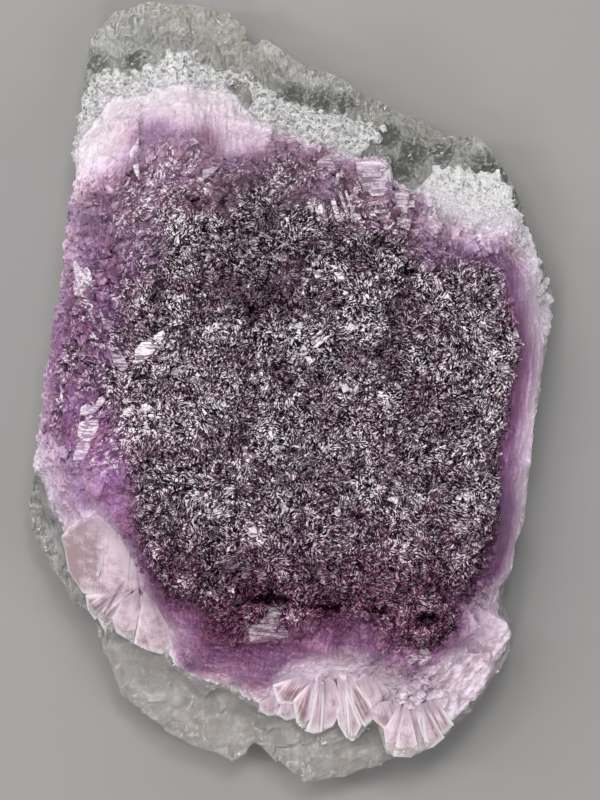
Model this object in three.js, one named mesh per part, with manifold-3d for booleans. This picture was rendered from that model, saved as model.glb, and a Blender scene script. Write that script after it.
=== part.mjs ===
// A hand specimen of bicolor fluorite, lying on its broken back with the purple layer up.
// Units are millimetres. +Z is up, +Y runs towards the clear end and the origin is under the middle.
import * as THREE from "three";
import { ImprovedNoise } from "three/addons/math/ImprovedNoise.js";
import { mergeVertices } from "three/addons/utils/BufferGeometryUtils.js";
import Module from "manifold-3d";

const wasm = await Module();
wasm.setup();

// Driving heights
const CLEAR_EDGE_HEIGHT = 5.4; // top of the clear layer at its broken edge
const CLEAR_HEIGHT = 8.0; // top of the clear layer where the purple starts
const CLEAR_RUN = 9; // how far in from the edge the clear layer reaches its full height
const PLATEAU_HEIGHT = 20.2; // purple plateau at its rim
const DOME_HEIGHT = 1.2; // how much higher its middle is
const BLANK_HEIGHT = 32; // height of the blanks before they are cut

// The broken outline of the clear layer, clockwise from the top left corner
const CLEAR_OUTLINE = [
  [-26.6, 46.0], [-25.4, 47.9], [-23.4, 49.7], [-18.5, 50.8], [-13.8, 51.0], [-10.4, 50.2],
  [-6.0, 48.0], [-6.2, 46.4], [-4.8, 45.5], [-3.8, 46.3], [-1.3, 44.9], [1.0, 42.9],
  [3.6, 42.4], [7.3, 41.0], [9.2, 38.8], [13.7, 36.7], [17.2, 35.5], [20.5, 33.9],
  [24.2, 33.3], [27.0, 30.2], [28.6, 28.0], [29.9, 25.2], [31.5, 20.4], [33.9, 13.7],
  [34.3, 11.6], [33.4, 9.5], [33.2, 6.0], [32.6, 0.4], [31.9, -3.6], [30.7, -14.0],
  [29.8, -19.2], [28.3, -24.6], [27.6, -28.0], [28.9, -30.4], [28.8, -33.2], [27.6, -35.6],
  [24.2, -40.4], [22.5, -43.0], [19.4, -45.2], [16.0, -47.2], [10.6, -49.5], [6.6, -50.4],
  [2.0, -51.0], [-2.0, -48.4], [-5.2, -45.7], [-6.0, -47.3], [-7.8, -48.1], [-11.6, -46.8],
  [-16.2, -44.2], [-19.9, -41.3], [-22.5, -39.4], [-23.6, -36.4], [-25.2, -33.6], [-25.7, -30.2],
  [-28.9, -27.2], [-31.7, -23.1], [-34.0, -17.6], [-34.5, -14.0], [-33.9, -10.5], [-32.3, -1.0],
  [-30.9, 7.4], [-29.5, 18.5], [-28.2, 26.3], [-28.1, 30.8], [-27.0, 40.3],
];

// The foot of the purple layer, clockwise from the left edge
const PURPLE_OUTLINE = [
  [-28.6, 29.4], [-27.2, 33.0], [-25.2, 35.8], [-23.2, 38.8], [-19.6, 37.8], [-16.9, 39.7],
  [-11.3, 39.4], [-7.2, 38.4], [-4.8, 34.8], [-0.9, 33.7], [2.2, 31.6], [4.9, 31.4],
  [6.9, 29.9], [10.4, 30.0], [12.6, 28.0], [13.4, 26.4], [17.0, 25.4], [20.0, 22.6],
  [24.0, 21.6], [29.0, 21.0], [31.0, 16.9], [32.6, 9.6], [32.9, 5.5], [32.2, 0.4],
  [30.5, -14.0], [28.8, -21.8], [26.6, -27.4], [24.8, -32.0], [22.4, -36.4], [20.6, -40.2],
  [16.6, -43.4], [12.6, -43.6], [9.6, -41.4], [6.0, -40.4], [1.7, -41.0], [-3.2, -40.8],
  [-8.3, -38.2], [-14.3, -36.1], [-17.4, -31.6], [-22.0, -28.6], [-24.8, -25.2], [-28.2, -21.8],
  [-29.9, -17.2], [-32.2, -12.4], [-33.6, -8.8], [-32.6, -1.0], [-31.2, 7.4], [-29.8, 18.5],
];

// How the purple layer's side rises at places round its foot: [x, y, run, ledge, bulge].
// The run is how far in the side reaches the plateau, the ledge is the step at its foot, and a bulge
// above 1 rounds the side outwards.
const PURPLE_SIDES = [
  [32, 6, 5.6, 1.4, 1.5], [30, -14, 5.6, 1.4, 1.5], [27, 20, 5.5, 3.2, 1.5], [9, 29, 4.5, 5.0, 1.6],
  [-8, 38, 10, 2.2, 1.3], [-20, 38, 9.0, 2.4, 1.3], [-29, 22, 6.5, 4.2, 1.5], [-32, 2, 7.0, 4.2, 1.5],
  [-31, -13, 8.0, 3.2, 1.4], [-24, -26, 9.0, 1.8, 1.3], [-12, -37, 9.5, 2.0, 1.2], [2, -41, 12, 1.4, 1.1],
  [16, -43, 12, 1.4, 1.1], [24, -33, 8.0, 2.0, 1.3],
];

// Deep pits in the plateau: [x, y, radius, depth]
const PITS = [
  [-2.7, -26.6, 3.4, 3.6], [-11.0, -20.6, 2.6, 2.0], [13.5, -26.0, 3.2, 2.0], [9.8, 8.2, 2.6, 1.6],
  [-17.6, 17.0, 3.2, 1.8], [21.0, 13.6, 3.2, 1.8], [-21.0, -4.2, 2.8, 2.2], [5.0, -4.0, 2.4, 1.4],
];

// Flat-faced blocks that stand out of the purple layer: [x, y, z, width, length, height, tilts about X, Y, Z]
const BLOCKS = [
  [9.0, 25.2, 14.6, 8.6, 8.8, 8.8, 9, -7, 12], [14.8, 21.2, 15.4, 5.6, 6.6, 9.4, -8, 9, -4],
  [1.2, 29.2, 12.8, 5.4, 5.0, 8.0, 14, 6, 24], [-5.6, 33.0, 11.0, 6.2, 5.0, 6.0, 20, -8, -16],
  [-26.4, 14.4, 13.6, 4.0, 6.4, 8.0, 6, -24, 14], [-18.0, 5.6, 18.2, 4.2, 5.4, 5.8, 13, -15, -36],
  [-25.4, -6.0, 14.2, 4.4, 6.8, 8.4, -7, -20, -24], [-23.4, 26.0, 12.8, 4.8, 6.0, 8.4, 12, -16, 20],
  [-20.4, 32.6, 11.4, 3.8, 6.8, 7.6, 18, -10, 8], [-2.8, -30.6, 15.6, 6.2, 4.2, 6.4, -16, 6, -8],
  [-24.0, -14.6, 13.6, 5.4, 5.6, 7.6, -10, -17, 32], [19.6, -29.4, 14.4, 5.2, 6.2, 7.0, -13, 12, 30],
  [11.4, -31.6, 14.8, 5.6, 4.8, 7.0, -17, 7, -18], [22.4, 17.2, 15.6, 4.8, 4.4, 8.6, -5, 10, 16],
  [-13.6, 30.4, 15.4, 5.0, 4.2, 5.6, 17, -6, 30], [-28.0, 3.4, 13.2, 4.0, 5.4, 7.2, 4, -20, -10],
];

// Clear crystals that radiate from the foot of the purple: the height of the root, which is the first
// point, the height of the tip, a sideways tilt in degrees, and the outline
const FRINGE = [
  [15.6, 10.2, 6, [[3.4, -36.4], [0.1, -39.8], [0.5, -42.8], [3.3, -44.2], [3.6, -40.0]]],
  [15.8, 10.4, -9, [[3.8, -36.2], [3.4, -44.2], [5.9, -42.5], [6.2, -39.6]]],
  [15.4, 10.0, 10, [[6.2, -36.6], [5.7, -42.3], [7.5, -44.6], [8.7, -45.1], [9.4, -43.6], [8.4, -40.6]]],
  [15.0, 9.8, -12, [[6.8, -36.8], [9.2, -43.8], [11.4, -41.8], [10.6, -38.6]]],
  [14.2, 9.6, 8, [[12.0, -38.6], [11.2, -43.8], [12.4, -46.7], [13.8, -47.1], [15.6, -43.2]]],
  [14.0, 9.6, -8, [[14.6, -38.4], [13.6, -47.1], [16.0, -47.2], [18.6, -45.5], [18.6, -41.2]]],
  [13.6, 9.4, -14, [[17.4, -38.0], [18.2, -45.7], [20.4, -44.4], [21.4, -41.4], [21.2, -39.0]]],
  [13.6, 10.0, 6, [[22.4, -33.4], [19.8, -38.4], [20.6, -41.6], [23.2, -41.6], [25.8, -37.4], [25.6, -33.6]]],
  [13.4, 10.2, -9, [[24.0, -27.6], [23.0, -33.4], [26.6, -36.8], [28.3, -33.0], [27.6, -29.4]]],
  [15.4, 12.2, 7, [[-20.8, -16.6], [-28.6, -16.8], [-29.0, -22.0], [-26.9, -25.9], [-22.9, -26.3], [-19.6, -24.4]]],
  [13.6, 9.4, -10, [[-20.4, -24.8], [-26.4, -26.3], [-26.2, -28.4], [-25.0, -29.3], [-23.3, -31.2]]],
  [14.4, 9.8, 9, [[-19.0, -24.6], [-22.1, -30.9], [-20.9, -32.5], [-18.4, -32.7], [-16.2, -30.2]]],
  [13.8, 9.6, -6, [[-15.6, -28.4], [-17.6, -32.0], [-16.2, -34.6], [-13.6, -36.2], [-11.8, -33.4]]],
  [13.4, 9.2, 10, [[-9.6, -33.2], [-12.4, -36.0], [-10.6, -38.2], [-7.6, -38.6], [-6.4, -35.6]]],
  [13.6, 9.4, -8, [[-3.4, -34.8], [-5.6, -38.6], [-4.2, -41.4], [-0.8, -42.2], [0.2, -38.6]]],
];
const FRINGE_FOOT = 5.6; // height at which these crystals start, inside the clear layer

// Small cubes packed over the plateau, and how deep they sit as a share of their size
const CUBE_PITCH = 4.7;
const CUBE_SMALLEST = 2.0;
const CUBE_LARGEST = 5.0;
const CUBE_SINK = 0.33;

// Cell sizes of the relief and of the underside, and how rough they are
const RELIEF_CELL = 2.7;
const UNDERSIDE_CELL = 5;
const CELL_JITTER = 0.36; // share of a cell that a vertex may move sideways
const PLATEAU_ROUGHNESS = 0.5;
const CLEAR_ROUGHNESS = 0.45;
const SMOOTH_WALL_ROUGHNESS = 0.08;
const SUGAR_WIDTH = 7; // width of the white sugary band above the purple
const SUGAR_HEIGHT = 1.1;

const noise = new ImprovedNoise();
const { clamp, lerp, smoothstep, degToRad, seededRandom } = THREE.MathUtils;
seededRandom(2718);
const between = (low, high) => low + (high - low) * seededRandom();

// A closed geometry as a manifold solid.
function solidOf(geometry) {
  geometry.deleteAttribute("normal");
  geometry.deleteAttribute("uv");
  const merged = mergeVertices(geometry, 1e-4);
  return new wasm.Manifold(
    new wasm.Mesh({
      numProp: 3,
      vertProperties: new Float32Array(merged.attributes.position.array),
      triVerts: new Uint32Array(merged.index.array),
    }),
  );
}

// How far a point is inside an outline, negative outside.
function depthInside(outline, x, y) {
  let nearest = Infinity;
  let inside = false;
  outline.forEach(([x0, y0], i) => {
    const [x1, y1] = outline[(i + 1) % outline.length];
    const along = clamp(((x - x0) * (x1 - x0) + (y - y0) * (y1 - y0)) / ((x1 - x0) ** 2 + (y1 - y0) ** 2), 0, 1);
    nearest = Math.min(nearest, Math.hypot(x - x0 - along * (x1 - x0), y - y0 - along * (y1 - y0)));
    if (y0 > y !== y1 > y && x < ((x1 - x0) * (y - y0)) / (y1 - y0) + x0) inside = !inside;
  });
  return inside ? nearest : -nearest;
}

// The run, ledge and bulge of the purple layer's side near a point.
function sideNear(x, y) {
  let total = 0;
  const side = { run: 0, ledge: 0, bulge: 0 };
  for (const [sx, sy, run, ledge, bulge] of PURPLE_SIDES) {
    const weight = 1 / ((x - sx) ** 2 + (y - sy) ** 2 + 2) ** 2;
    total += weight;
    side.run += weight * run;
    side.ledge += weight * ledge;
    side.bulge += weight * bulge;
  }
  return { run: side.run / total, ledge: side.ledge / total, bulge: side.bulge / total };
}

// 1 on the smooth wall along the right side, 0 elsewhere.
function smoothWall(x, y, depth, run) {
  const onRight = smoothstep(x, 22, 26) * smoothstep(y, -27, -21) * (1 - smoothstep(y, 13, 19));
  return onRight * (1 - smoothstep(depth, run * 0.9, run * 1.15));
}

// How far the plateau is domed at a point, from 0 at its rim to 1 in the middle.
const domeAt = (x, y) => Math.max(0, 1 - (x / 27) ** 2 - (y / 36) ** 2);

// Height of the clear layer's upper surface, with the sugary band next to the purple at its top end.
function clearHeight(x, y, purpleDepth) {
  const inward = smoothstep(depthInside(CLEAR_OUTLINE, x, y), 0, CLEAR_RUN);
  const sugar = smoothstep(purpleDepth, -SUGAR_WIDTH, -SUGAR_WIDTH * 0.6) * smoothstep(y, 14, 24);
  const pitted = Math.max(0, noise.noise(x / 3.1, y / 3.1, 6.4) - 0.15) * 4;
  return lerp(CLEAR_EDGE_HEIGHT, CLEAR_HEIGHT, inward) + 0.7 * noise.noise(x / 6, y / 6, 3.7)
    + sugar * (SUGAR_HEIGHT - Math.min(pitted, 1.6)) + CLEAR_ROUGHNESS * between(-1, 1);
}

// Height of the whole upper surface.
function topHeight(x, y) {
  const depth = depthInside(PURPLE_OUTLINE, x, y);
  const clear = clearHeight(x, y, depth);
  if (depth <= 0) return clear;

  const { run, ledge, bulge } = sideNear(x, y);
  const climbed = clamp(depth / run, 0, 1);
  const slope = (PLATEAU_HEIGHT - CLEAR_HEIGHT - ledge) * (1 - (1 - climbed) ** bulge);
  const smooth = smoothWall(x, y, depth, run);
  const lumps = 0.9 * noise.noise(x / 8, y / 8, 1.3) + 0.6 * noise.noise(x / 3.4, y / 3.4, 8.1);
  const roughness = lerp(PLATEAU_ROUGHNESS, SMOOTH_WALL_ROUGHNESS, smooth);
  let height = lerp(clear, CLEAR_HEIGHT, smoothstep(depth, 0, 2)) + ledge * smoothstep(depth, 0, 0.9) + slope;
  height += DOME_HEIGHT * domeAt(x, y) * climbed + lumps * (1 - smooth) + roughness * between(-1, 1);
  for (const [px, py, radius, pitDepth] of PITS) {
    height -= pitDepth * Math.exp(-((x - px) ** 2 + (y - py) ** 2) / (radius * 0.6) ** 2);
  }
  return height;
}

// Height of the broken back: flat where the specimen rests, lifted towards its edges.
function backHeight(x, y) {
  const edge = 1 - smoothstep(depthInside(CLEAR_OUTLINE, x, y), 0, 8);
  const middle = Math.exp(-(x ** 2 + y ** 2) / 200);
  const hollows = 2.4 * noise.noise(x / 13, y / 13, 5.5) - 0.7 - 1.8 * middle;
  return Math.max(0, 2.0 * edge + hollows + 0.3 * between(-1, 1));
}

// A block whose upper side (1) or lower side (-1) follows a height function on a jittered grid.
function reliefBlock(cell, side, heightAt) {
  const width = 76;
  const length = 110;
  const columns = Math.round(width / cell);
  const rows = Math.round(length / cell);
  const blank = new THREE.BoxGeometry(width, length, BLANK_HEIGHT, columns, rows, 1);
  blank.deleteAttribute("normal");
  blank.deleteAttribute("uv");
  const merged = mergeVertices(blank, 1e-4);
  const position = merged.attributes.position;
  for (let i = 0; i < position.count; i++) {
    if (Math.sign(position.getZ(i)) !== side) {
      position.setZ(i, -side * BLANK_HEIGHT);
      continue;
    }
    const onRim = Math.abs(position.getX(i)) > width / 2 - 1 || Math.abs(position.getY(i)) > length / 2 - 1;
    const jitter = onRim ? 0 : CELL_JITTER * cell;
    const x = position.getX(i) + between(-jitter, jitter);
    const y = position.getY(i) + between(-jitter, jitter);
    position.setXYZ(i, x, y, heightAt(x, y));
  }
  return solidOf(merged);
}

// The broken side all round, as a rough prism that draws in towards its foot and its top.
function brokenSide() {
  const shape = new THREE.Shape(CLEAR_OUTLINE.map(([x, y]) => new THREE.Vector2(x, y)));
  const prism = new THREE.ExtrudeGeometry(shape, { depth: BLANK_HEIGHT, steps: 11, bevelEnabled: false });
  prism.translate(0, 0, -2);
  const position = prism.attributes.position;
  for (let i = 0; i < position.count; i++) {
    const x = position.getX(i);
    const y = position.getY(i);
    const z = position.getZ(i);
    const foot = 2.0 * (1 - smoothstep(z, 0, 4.5));
    const taper = 0.14 * Math.max(0, z - 7);
    const rough = 0.9 * noise.noise(x / 4 + 9, y / 4, z / 4);
    const pull = 1 - (foot + taper + rough + 0.2) / Math.hypot(x, y);
    position.setXY(i, x * pull, y * pull);
  }
  return solidOf(prism);
}

// A flat-faced block of crystal.
function block([x, y, z, width, length, height, tiltX, tiltY, tiltZ]) {
  const geometry = new THREE.BoxGeometry(width, length, height);
  geometry.rotateZ(degToRad(tiltZ)).rotateX(degToRad(tiltX)).rotateY(degToRad(tiltY));
  return solidOf(geometry.translate(x, y, z));
}

// A clear crystal with a flat top that falls from its root to its tip.
function fringeCrystal([rootHeight, tipHeight, tilt, outline]) {
  const points = outline.map(([x, y]) => new THREE.Vector2(x, y));
  const root = points[0];
  const middle = points.reduce((sum, point) => sum.add(point), new THREE.Vector2()).divideScalar(points.length);
  const down = middle.clone().sub(root).normalize();
  const reach = Math.max(...points.map((point) => point.clone().sub(root).dot(down)));
  const geometry = new THREE.ExtrudeGeometry(new THREE.Shape(points), { depth: 1, bevelEnabled: false });
  const position = geometry.attributes.position;
  for (let i = 0; i < position.count; i++) {
    const offset = new THREE.Vector2(position.getX(i), position.getY(i)).sub(root);
    const top = lerp(rootHeight, tipHeight, offset.dot(down) / reach) + Math.tan(degToRad(tilt)) * offset.cross(down);
    position.setZ(i, position.getZ(i) > 0.5 ? top : FRINGE_FOOT);
  }
  return solidOf(geometry);
}

// Small cubes that stand out of the plateau at every angle.
function packedCubes() {
  const cubes = [];
  for (let row = -8; row <= 8; row++) {
    for (let column = -6; column <= 6; column++) {
      const x = CUBE_PITCH * (column + between(-0.5, 0.5));
      const y = CUBE_PITCH * (row + between(-0.5, 0.5));
      const { run } = sideNear(x, y);
      if (depthInside(PURPLE_OUTLINE, x, y) < run * 0.8) continue;
      const size = lerp(CUBE_SMALLEST, CUBE_LARGEST, seededRandom() ** 1.6);
      const surface = PLATEAU_HEIGHT + DOME_HEIGHT * domeAt(x, y) + 0.9 * noise.noise(x / 8, y / 8, 1.3);
      const angles = [between(0, 90), between(0, 90), between(0, 90)];
      cubes.push(block([x, y, surface - size * CUBE_SINK, size, size * between(0.8, 1.3), size, ...angles]));
    }
  }
  return cubes;
}

// The whole specimen: the relief with its crystals, cut by the broken side and the broken back.
function fluoriteSolid() {
  const crystals = [...BLOCKS.map(block), ...FRINGE.map(fringeCrystal), ...packedCubes()];
  const top = crystals.reduce((grown, crystal) => grown.add(crystal), reliefBlock(RELIEF_CELL, 1, topHeight));
  return top.intersect(brokenSide()).intersect(reliefBlock(UNDERSIDE_CELL, -1, backHeight));
}

// A mesh from a solid, with the middle of its foot at the origin.
function meshOf(solid, name, material) {
  const made = solid.getMesh();
  const geometry = new THREE.BufferGeometry();
  geometry.setAttribute("position", new THREE.BufferAttribute(new Float32Array(made.vertProperties), 3));
  geometry.setIndex(new THREE.BufferAttribute(made.triVerts, 1));
  geometry.computeBoundingBox();
  const middle = geometry.boundingBox.getCenter(new THREE.Vector3());
  geometry.translate(-middle.x, -middle.y, -geometry.boundingBox.min.z);
  geometry.computeVertexNormals();
  const mesh = new THREE.Mesh(geometry, material);
  mesh.name = name;
  return mesh;
}

const purpleFluorite = new THREE.MeshStandardMaterial({
  color: 0x5a4560,
  roughness: 0.3,
  metalness: 0,
  flatShading: true,
});

const specimen = new THREE.Group();
specimen.add(meshOf(fluoriteSolid(), "fluorite", purpleFluorite));

export default specimen;
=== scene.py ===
# A specimen of bicolor fluorite: a clear lower layer under a purple crystal crust.
# Tables of places are in millimetres, measured from the zero point of the specimen's outline.
import math
from contextlib import contextmanager

import bpy
import numpy as np
from bpy.props import FloatProperty, FloatVectorProperty, PointerProperty
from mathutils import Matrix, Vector


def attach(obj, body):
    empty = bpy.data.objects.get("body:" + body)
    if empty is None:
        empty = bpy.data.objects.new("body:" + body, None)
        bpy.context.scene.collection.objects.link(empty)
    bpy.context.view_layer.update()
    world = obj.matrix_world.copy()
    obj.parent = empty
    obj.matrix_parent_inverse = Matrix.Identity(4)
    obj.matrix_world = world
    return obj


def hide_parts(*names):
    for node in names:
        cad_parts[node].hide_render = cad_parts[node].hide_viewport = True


bl_info = {
    "name": "Bicolor fluorite specimen",
    "version": (1, 0, 0),
    "blender": (4, 5, 0),
    "location": "3D View > Sidebar > Fluorite",
    "description": "Builds a broken plate of clear fluorite with a purple crystal crust",
    "category": "Add Mesh",
}

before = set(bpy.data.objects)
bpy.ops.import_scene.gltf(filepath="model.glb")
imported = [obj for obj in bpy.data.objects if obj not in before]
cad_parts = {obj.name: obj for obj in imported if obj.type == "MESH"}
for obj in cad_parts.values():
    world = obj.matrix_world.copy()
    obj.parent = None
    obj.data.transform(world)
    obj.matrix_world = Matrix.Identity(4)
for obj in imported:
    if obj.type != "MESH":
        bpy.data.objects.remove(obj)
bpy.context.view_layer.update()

MM = 0.001
ZERO_X = 0.237  # where the outline's zero point lies in the frame
ZERO_Y = 0.049
CAMERA_AIM = (1.04, -1.04, 6.0)  # the middle of the picture
CLEAR_TOP = 9.4  # where the clear layer ends, under the crust
SEAT_FLOOR = 7.0  # floor of the hollow in the clear layer that the crust stands in
HIDDEN_FOOT = 6.6  # where the foot crystals start, inside the clear layer
OVER_FOOT = 20.0  # a height over the clear layer and the foot crystals
OVER_CRUST = 40.0  # a height over the whole specimen
CLEAR_INDEX = 1.434  # fluorite's index of refraction
PURPLE_INDEX = 1.33  # lower, because light that goes into the crust dulls its highlights

# The foot of the purple layer, clockwise from the left edge
PURPLE_OUTLINE = [
    (-28.6, 29.4), (-27.2, 33.0), (-25.2, 35.8), (-23.2, 38.8), (-19.6, 37.8), (-16.9, 39.7),
    (-11.3, 39.4), (-7.2, 38.4), (-4.8, 34.8), (-0.9, 33.7), (2.2, 31.6), (4.9, 31.4),
    (6.9, 29.9), (10.4, 30.0), (12.6, 28.0), (13.4, 26.4), (17.0, 25.4), (20.0, 22.6),
    (24.0, 21.6), (29.0, 21.0), (31.0, 16.9), (32.6, 9.6), (32.9, 5.5), (32.2, 0.4),
    (30.5, -14.0), (28.8, -21.8), (27.8, -27.4), (28.2, -30.8), (26.4, -35.0), (23.8, -39.4),
    (20.6, -42.4), (16.6, -43.6), (12.6, -43.6), (9.6, -41.4), (6.0, -40.4), (1.7, -41.0), (-3.2, -40.8),
    (-8.3, -38.2), (-14.3, -36.1), (-17.4, -31.6), (-22.0, -28.6), (-24.8, -25.2), (-28.2, -21.8),
    (-29.9, -17.2), (-32.2, -12.4), (-33.6, -8.8), (-32.6, -1.0), (-31.2, 7.4), (-29.8, 18.5),
]

# How the purple deepens from its edge at places round it: x, y, and how far in it is lilac, violet and plum
DEEPENING = [
    (32, 2, 1.7, 3.0, 5.2), (31.5, -8, 2.0, 3.2, 5.2), (29, -20, 0.6, 2.0, 4.6), (29, 20, 1.6, 3.2, 6.0),
    (22, 22, 2.8, 4.8, 9.0), (13, 27, 0.4, 2.0, 9.5), (4, 31, 0.5, 2.2, 10), (-8, 38, 4.6, 8, 17),
    (-18, 38, 6, 10.5, 21), (-25.5, 34, 6.2, 10.5, 20), (-29, 25, 1, 5, 17.5), (-31, 8, 0.6, 2.6, 15.5),
    (-33, -1, 0.6, 2.6, 16), (-32, -12, 3.4, 8, 16.5), (-28, -22, 5.6, 8.2, 12.5), (-22, -29, 0.3, 1.2, 6),
    (-14, -36, 0.2, 1, 8.5), (-7, -39, 0.6, 2.4, 11.5), (2, -41, 6.2, 9.8, 17.5), (13, -44, 7.4, 11.2, 18.5),
    (23, -40, 6.8, 9.2, 14.5), (28, -31, 5.4, 7.6, 12),
]

# Broad places where the crust differs from what its edge gives: x, y, radius, how much deeper its shade is
# and how much lighter it looks
PLACES = [
    (-17.8, 33, 2.8, 0.75, 0), (-17.5, 25, 6, 0, 0.4), (-14.5, -1, 6, 0, 0.42), (-23.5, -8, 4.5, -0.3, 0.5),
    (9, -3.6, 4.5, 0, 0.3), (24, -4, 4, 0, 0.35), (11, -19.5, 4.5, 0, 0.3), (-15.5, -31.6, 3, -0.8, 0.1),
    (-19.4, -25, 2.6, -0.7, 0.2), (2, -35.6, 5, -0.2, 0.3), (-5, 18.5, 7.5, 0.2, -0.5),
    (31.5, -5, 4, 0, 0.55), (-26.6, 27, 3, -0.4, 0.2), (19.5, -30, 3, 0.9, 0), (26.6, 2, 2.4, 0, 0.85),
    (-9.5, -24.5, 3.6, 0.2, -0.5), (3, -25.5, 6, 0, -0.2), (17, -24.5, 4, 0, -0.25), (13, 8, 6, 0, -0.15),
    (-30.5, 6, 3.5, 0.5, 0), (-28.5, -14.5, 3, 0.3, -0.05), (-19, 14, 5, 0, 0.15), (28.2, -3, 2, 0.3, -0.15),
    (-4.5, 12, 5, 0, -0.2), (26, 21, 3.2, -0.7, 0.1), (-12.5, -28.5, 4, -0.3, 0.18), (2, -30.5, 5, 0, 0.15),
    (-31, 3, 4, 0, 0.22), (-25, -3.6, 3.6, 0, 0.25), (-15.5, 29, 3.6, 0, 0.3), (6.8, 30.2, 3, 0, 0.35),
    (-20, -14, 3.2, 0, 0.2), (-19.6, -24, 2.8, 0, 0.25), (16.6, -35, 3.4, 0, 0.35), (-6.5, -35, 3.6, 0, 0.22),
    (21.8, -29.6, 2.8, 0, -0.22), (1, 6.8, 3, 0, -0.22), (16.6, 22.4, 3, 0, -0.22),
]

# Flat-faced blocks that stand out of the crust: x, y, height over the crust, how pale they are in colour and
# in painted sheen, width, length and tilts about X, Y and Z
BLOCKS = [
    (10.4, 26.8, 0.1, 0.45, 4.0, 4.0, 7, 4, 4), (13.9, 23.2, 0.1, 0.4, 1.8, 4.4, 6, -5, -6),
    (4.6, 28.4, 0.1, 0.3, 2.0, 2.6, 12, -6, 18), (-2.7, -29.6, 0.3, 0.3, 6.0, 4.0, -6, 3, 8),
    (16.2, -33.4, 0.1, 0.5, 2.0, 2.4, -14, 8, 34),
]

# Clear crystals that radiate from the foot of the purple: the height of the root, which is the first
# point, the height of the tip, a sideways tilt in degrees, how milky the crystal is, and the outline
FRINGE = [
    (11.2, 8.8, 4, 0.2, [(-2.6, -38.9), (-4.2, -40), (-4.2, -41.2), (-3.1, -41.9), (-1.5, -41.7),
                         (-1.2, -40)]),
    (11.6, 8.8, -6, 0.1, [(-1, -39), (-2, -41.6), (-0.8, -42.5), (0.6, -42.2), (0.4, -39.8)]),
    (13.2, 10.6, 6, 0, [(1.3, -36.2), (-2.6, -37.6), (-1.8, -40.2), (0.5, -40.2), (2.7, -37.2)]),
    (14.2, 8.8, 12, 0, [(3, -36.4), (0.1, -39.7), (0.6, -42.8), (1.4, -43.6), (2.4, -42)]),
    (14.4, 9, -6, 0.2, [(3.4, -36.6), (2.2, -42.6), (1.6, -43.8), (2.8, -44.2), (4, -43.9), (4.2, -37.2)]),
    (14, 9.2, -14, 0.5, [(4.6, -36.4), (3.8, -37.2), (3.8, -43.9), (5.3, -43.2), (6.1, -41.5), (6.3, -39.9),
                         (5.6, -37.2)]),
    (13.8, 8.6, 14, 0.7, [(5.8, -36.4), (5.7, -41.4), (6, -43), (7.1, -44.9), (7.4, -44.6), (6.6, -37.3)]),
    (13.8, 8.8, -8, 0.2, [(6.6, -36.4), (7.3, -44.8), (8, -45.2), (9, -43), (8.1, -41)]),
    (13.8, 9.6, -16, 0, [(7, -36.2), (7.7, -40.2), (8.9, -42.8), (9.4, -43.3), (10.7, -42), (10.3, -40.2),
                         (8.2, -37.2)]),
    (14.4, 10.4, 8, 0.6, [(9.4, -35.8), (8.3, -36.8), (10.2, -41.2), (11.2, -40.8), (11, -37.6)]),
    (14, 10.2, -8, 0.4, [(10.4, -36), (10.8, -40.8), (12.2, -40.6), (12.6, -38.4)]),
    (12, 9.6, -6, 0.3, [(11.4, -39.8), (10, -41), (10.4, -42.2), (12.2, -43.8), (13.6, -41.6),
                        (12.8, -39.6)]),
    (13, 8, 14, 0.6, [(14, -39.6), (13.1, -41.3), (11.8, -43.5), (12.3, -46.7), (13.3, -47.2),
                      (14.5, -40.6)]),
    (13.4, 8.2, -4, 0.9, [(14.4, -39.8), (13.1, -47.2), (15.4, -47.3), (16.4, -46.3), (15, -40.2)]),
    (13.4, 8, -12, 0, [(15.2, -39.6), (14.7, -40.2), (16.1, -46.5), (17.6, -46.2), (16, -40.2)]),
    (13.2, 8.2, 8, 0.1, [(16.4, -39.8), (17.2, -46.3), (18.3, -46), (19.8, -44.7), (17.2, -40.2)]),
    (12.8, 8.6, -15, 0, [(17.8, -39.4), (16.8, -40.2), (19.2, -44.8), (20.9, -42.9), (19.1, -40.2)]),
    (18.9, 9.6, -22, 1, [(-24.4, -15.4), (-26.6, -16.2), (-29.6, -18.4), (-29.1, -20.9), (-28.9, -23),
                         (-27, -26.1), (-23.3, -26.5), (-19.4, -26), (-19.6, -22.6), (-21.6, -18.2)]),
    (16.2, 12.6, -20, 0, [(-23.4, -19.6), (-25.2, -23.5), (-24.8, -23.7)]),
    (13.8, 12.4, -20, 0, [(-21.6, -24.2), (-22.9, -25.6), (-22.5, -25.8)]),
    (13.2, 7.4, 16, 0, [(-22.6, -25.8), (-26.7, -26.2), (-26.5, -28.1), (-25.6, -29.6), (-24.6, -29)]),
    (13.8, 7, -14, 0, [(-20.4, -25.4), (-23, -26.2), (-25.2, -29.4), (-24.3, -31), (-22.6, -28.8)]),
    (14.2, 8, 10, 0.85, [(-19.6, -25.2), (-21.9, -26.7), (-23.2, -29.6), (-22.8, -31.2), (-20.5, -32.5),
                         (-19.4, -27)]),
    (14.6, 8.4, -8, 0.7, [(-18.9, -25.4), (-20.4, -32.5), (-18.8, -33.4), (-16.8, -34), (-15.3, -32.8),
                          (-15.9, -30.2), (-17.4, -27)]),
]

# Crystals of the crust that are clear and milky in place of purple
CLEARINGS = [
    [(17.4, -34.6), (14.2, -37.6), (13.4, -40), (18, -44), (23.8, -41.4), (29, -32.6), (28.4, -28),
     (25, -31.6)],
    [(-25.2, -14.4), (-30.4, -17.9), (-27, -26.3), (-26.8, -30), (-17, -34.6), (-15.2, -31), (-18.2, -25.4),
     (-19.2, -21.4), (-22, -17)],
]
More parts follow.
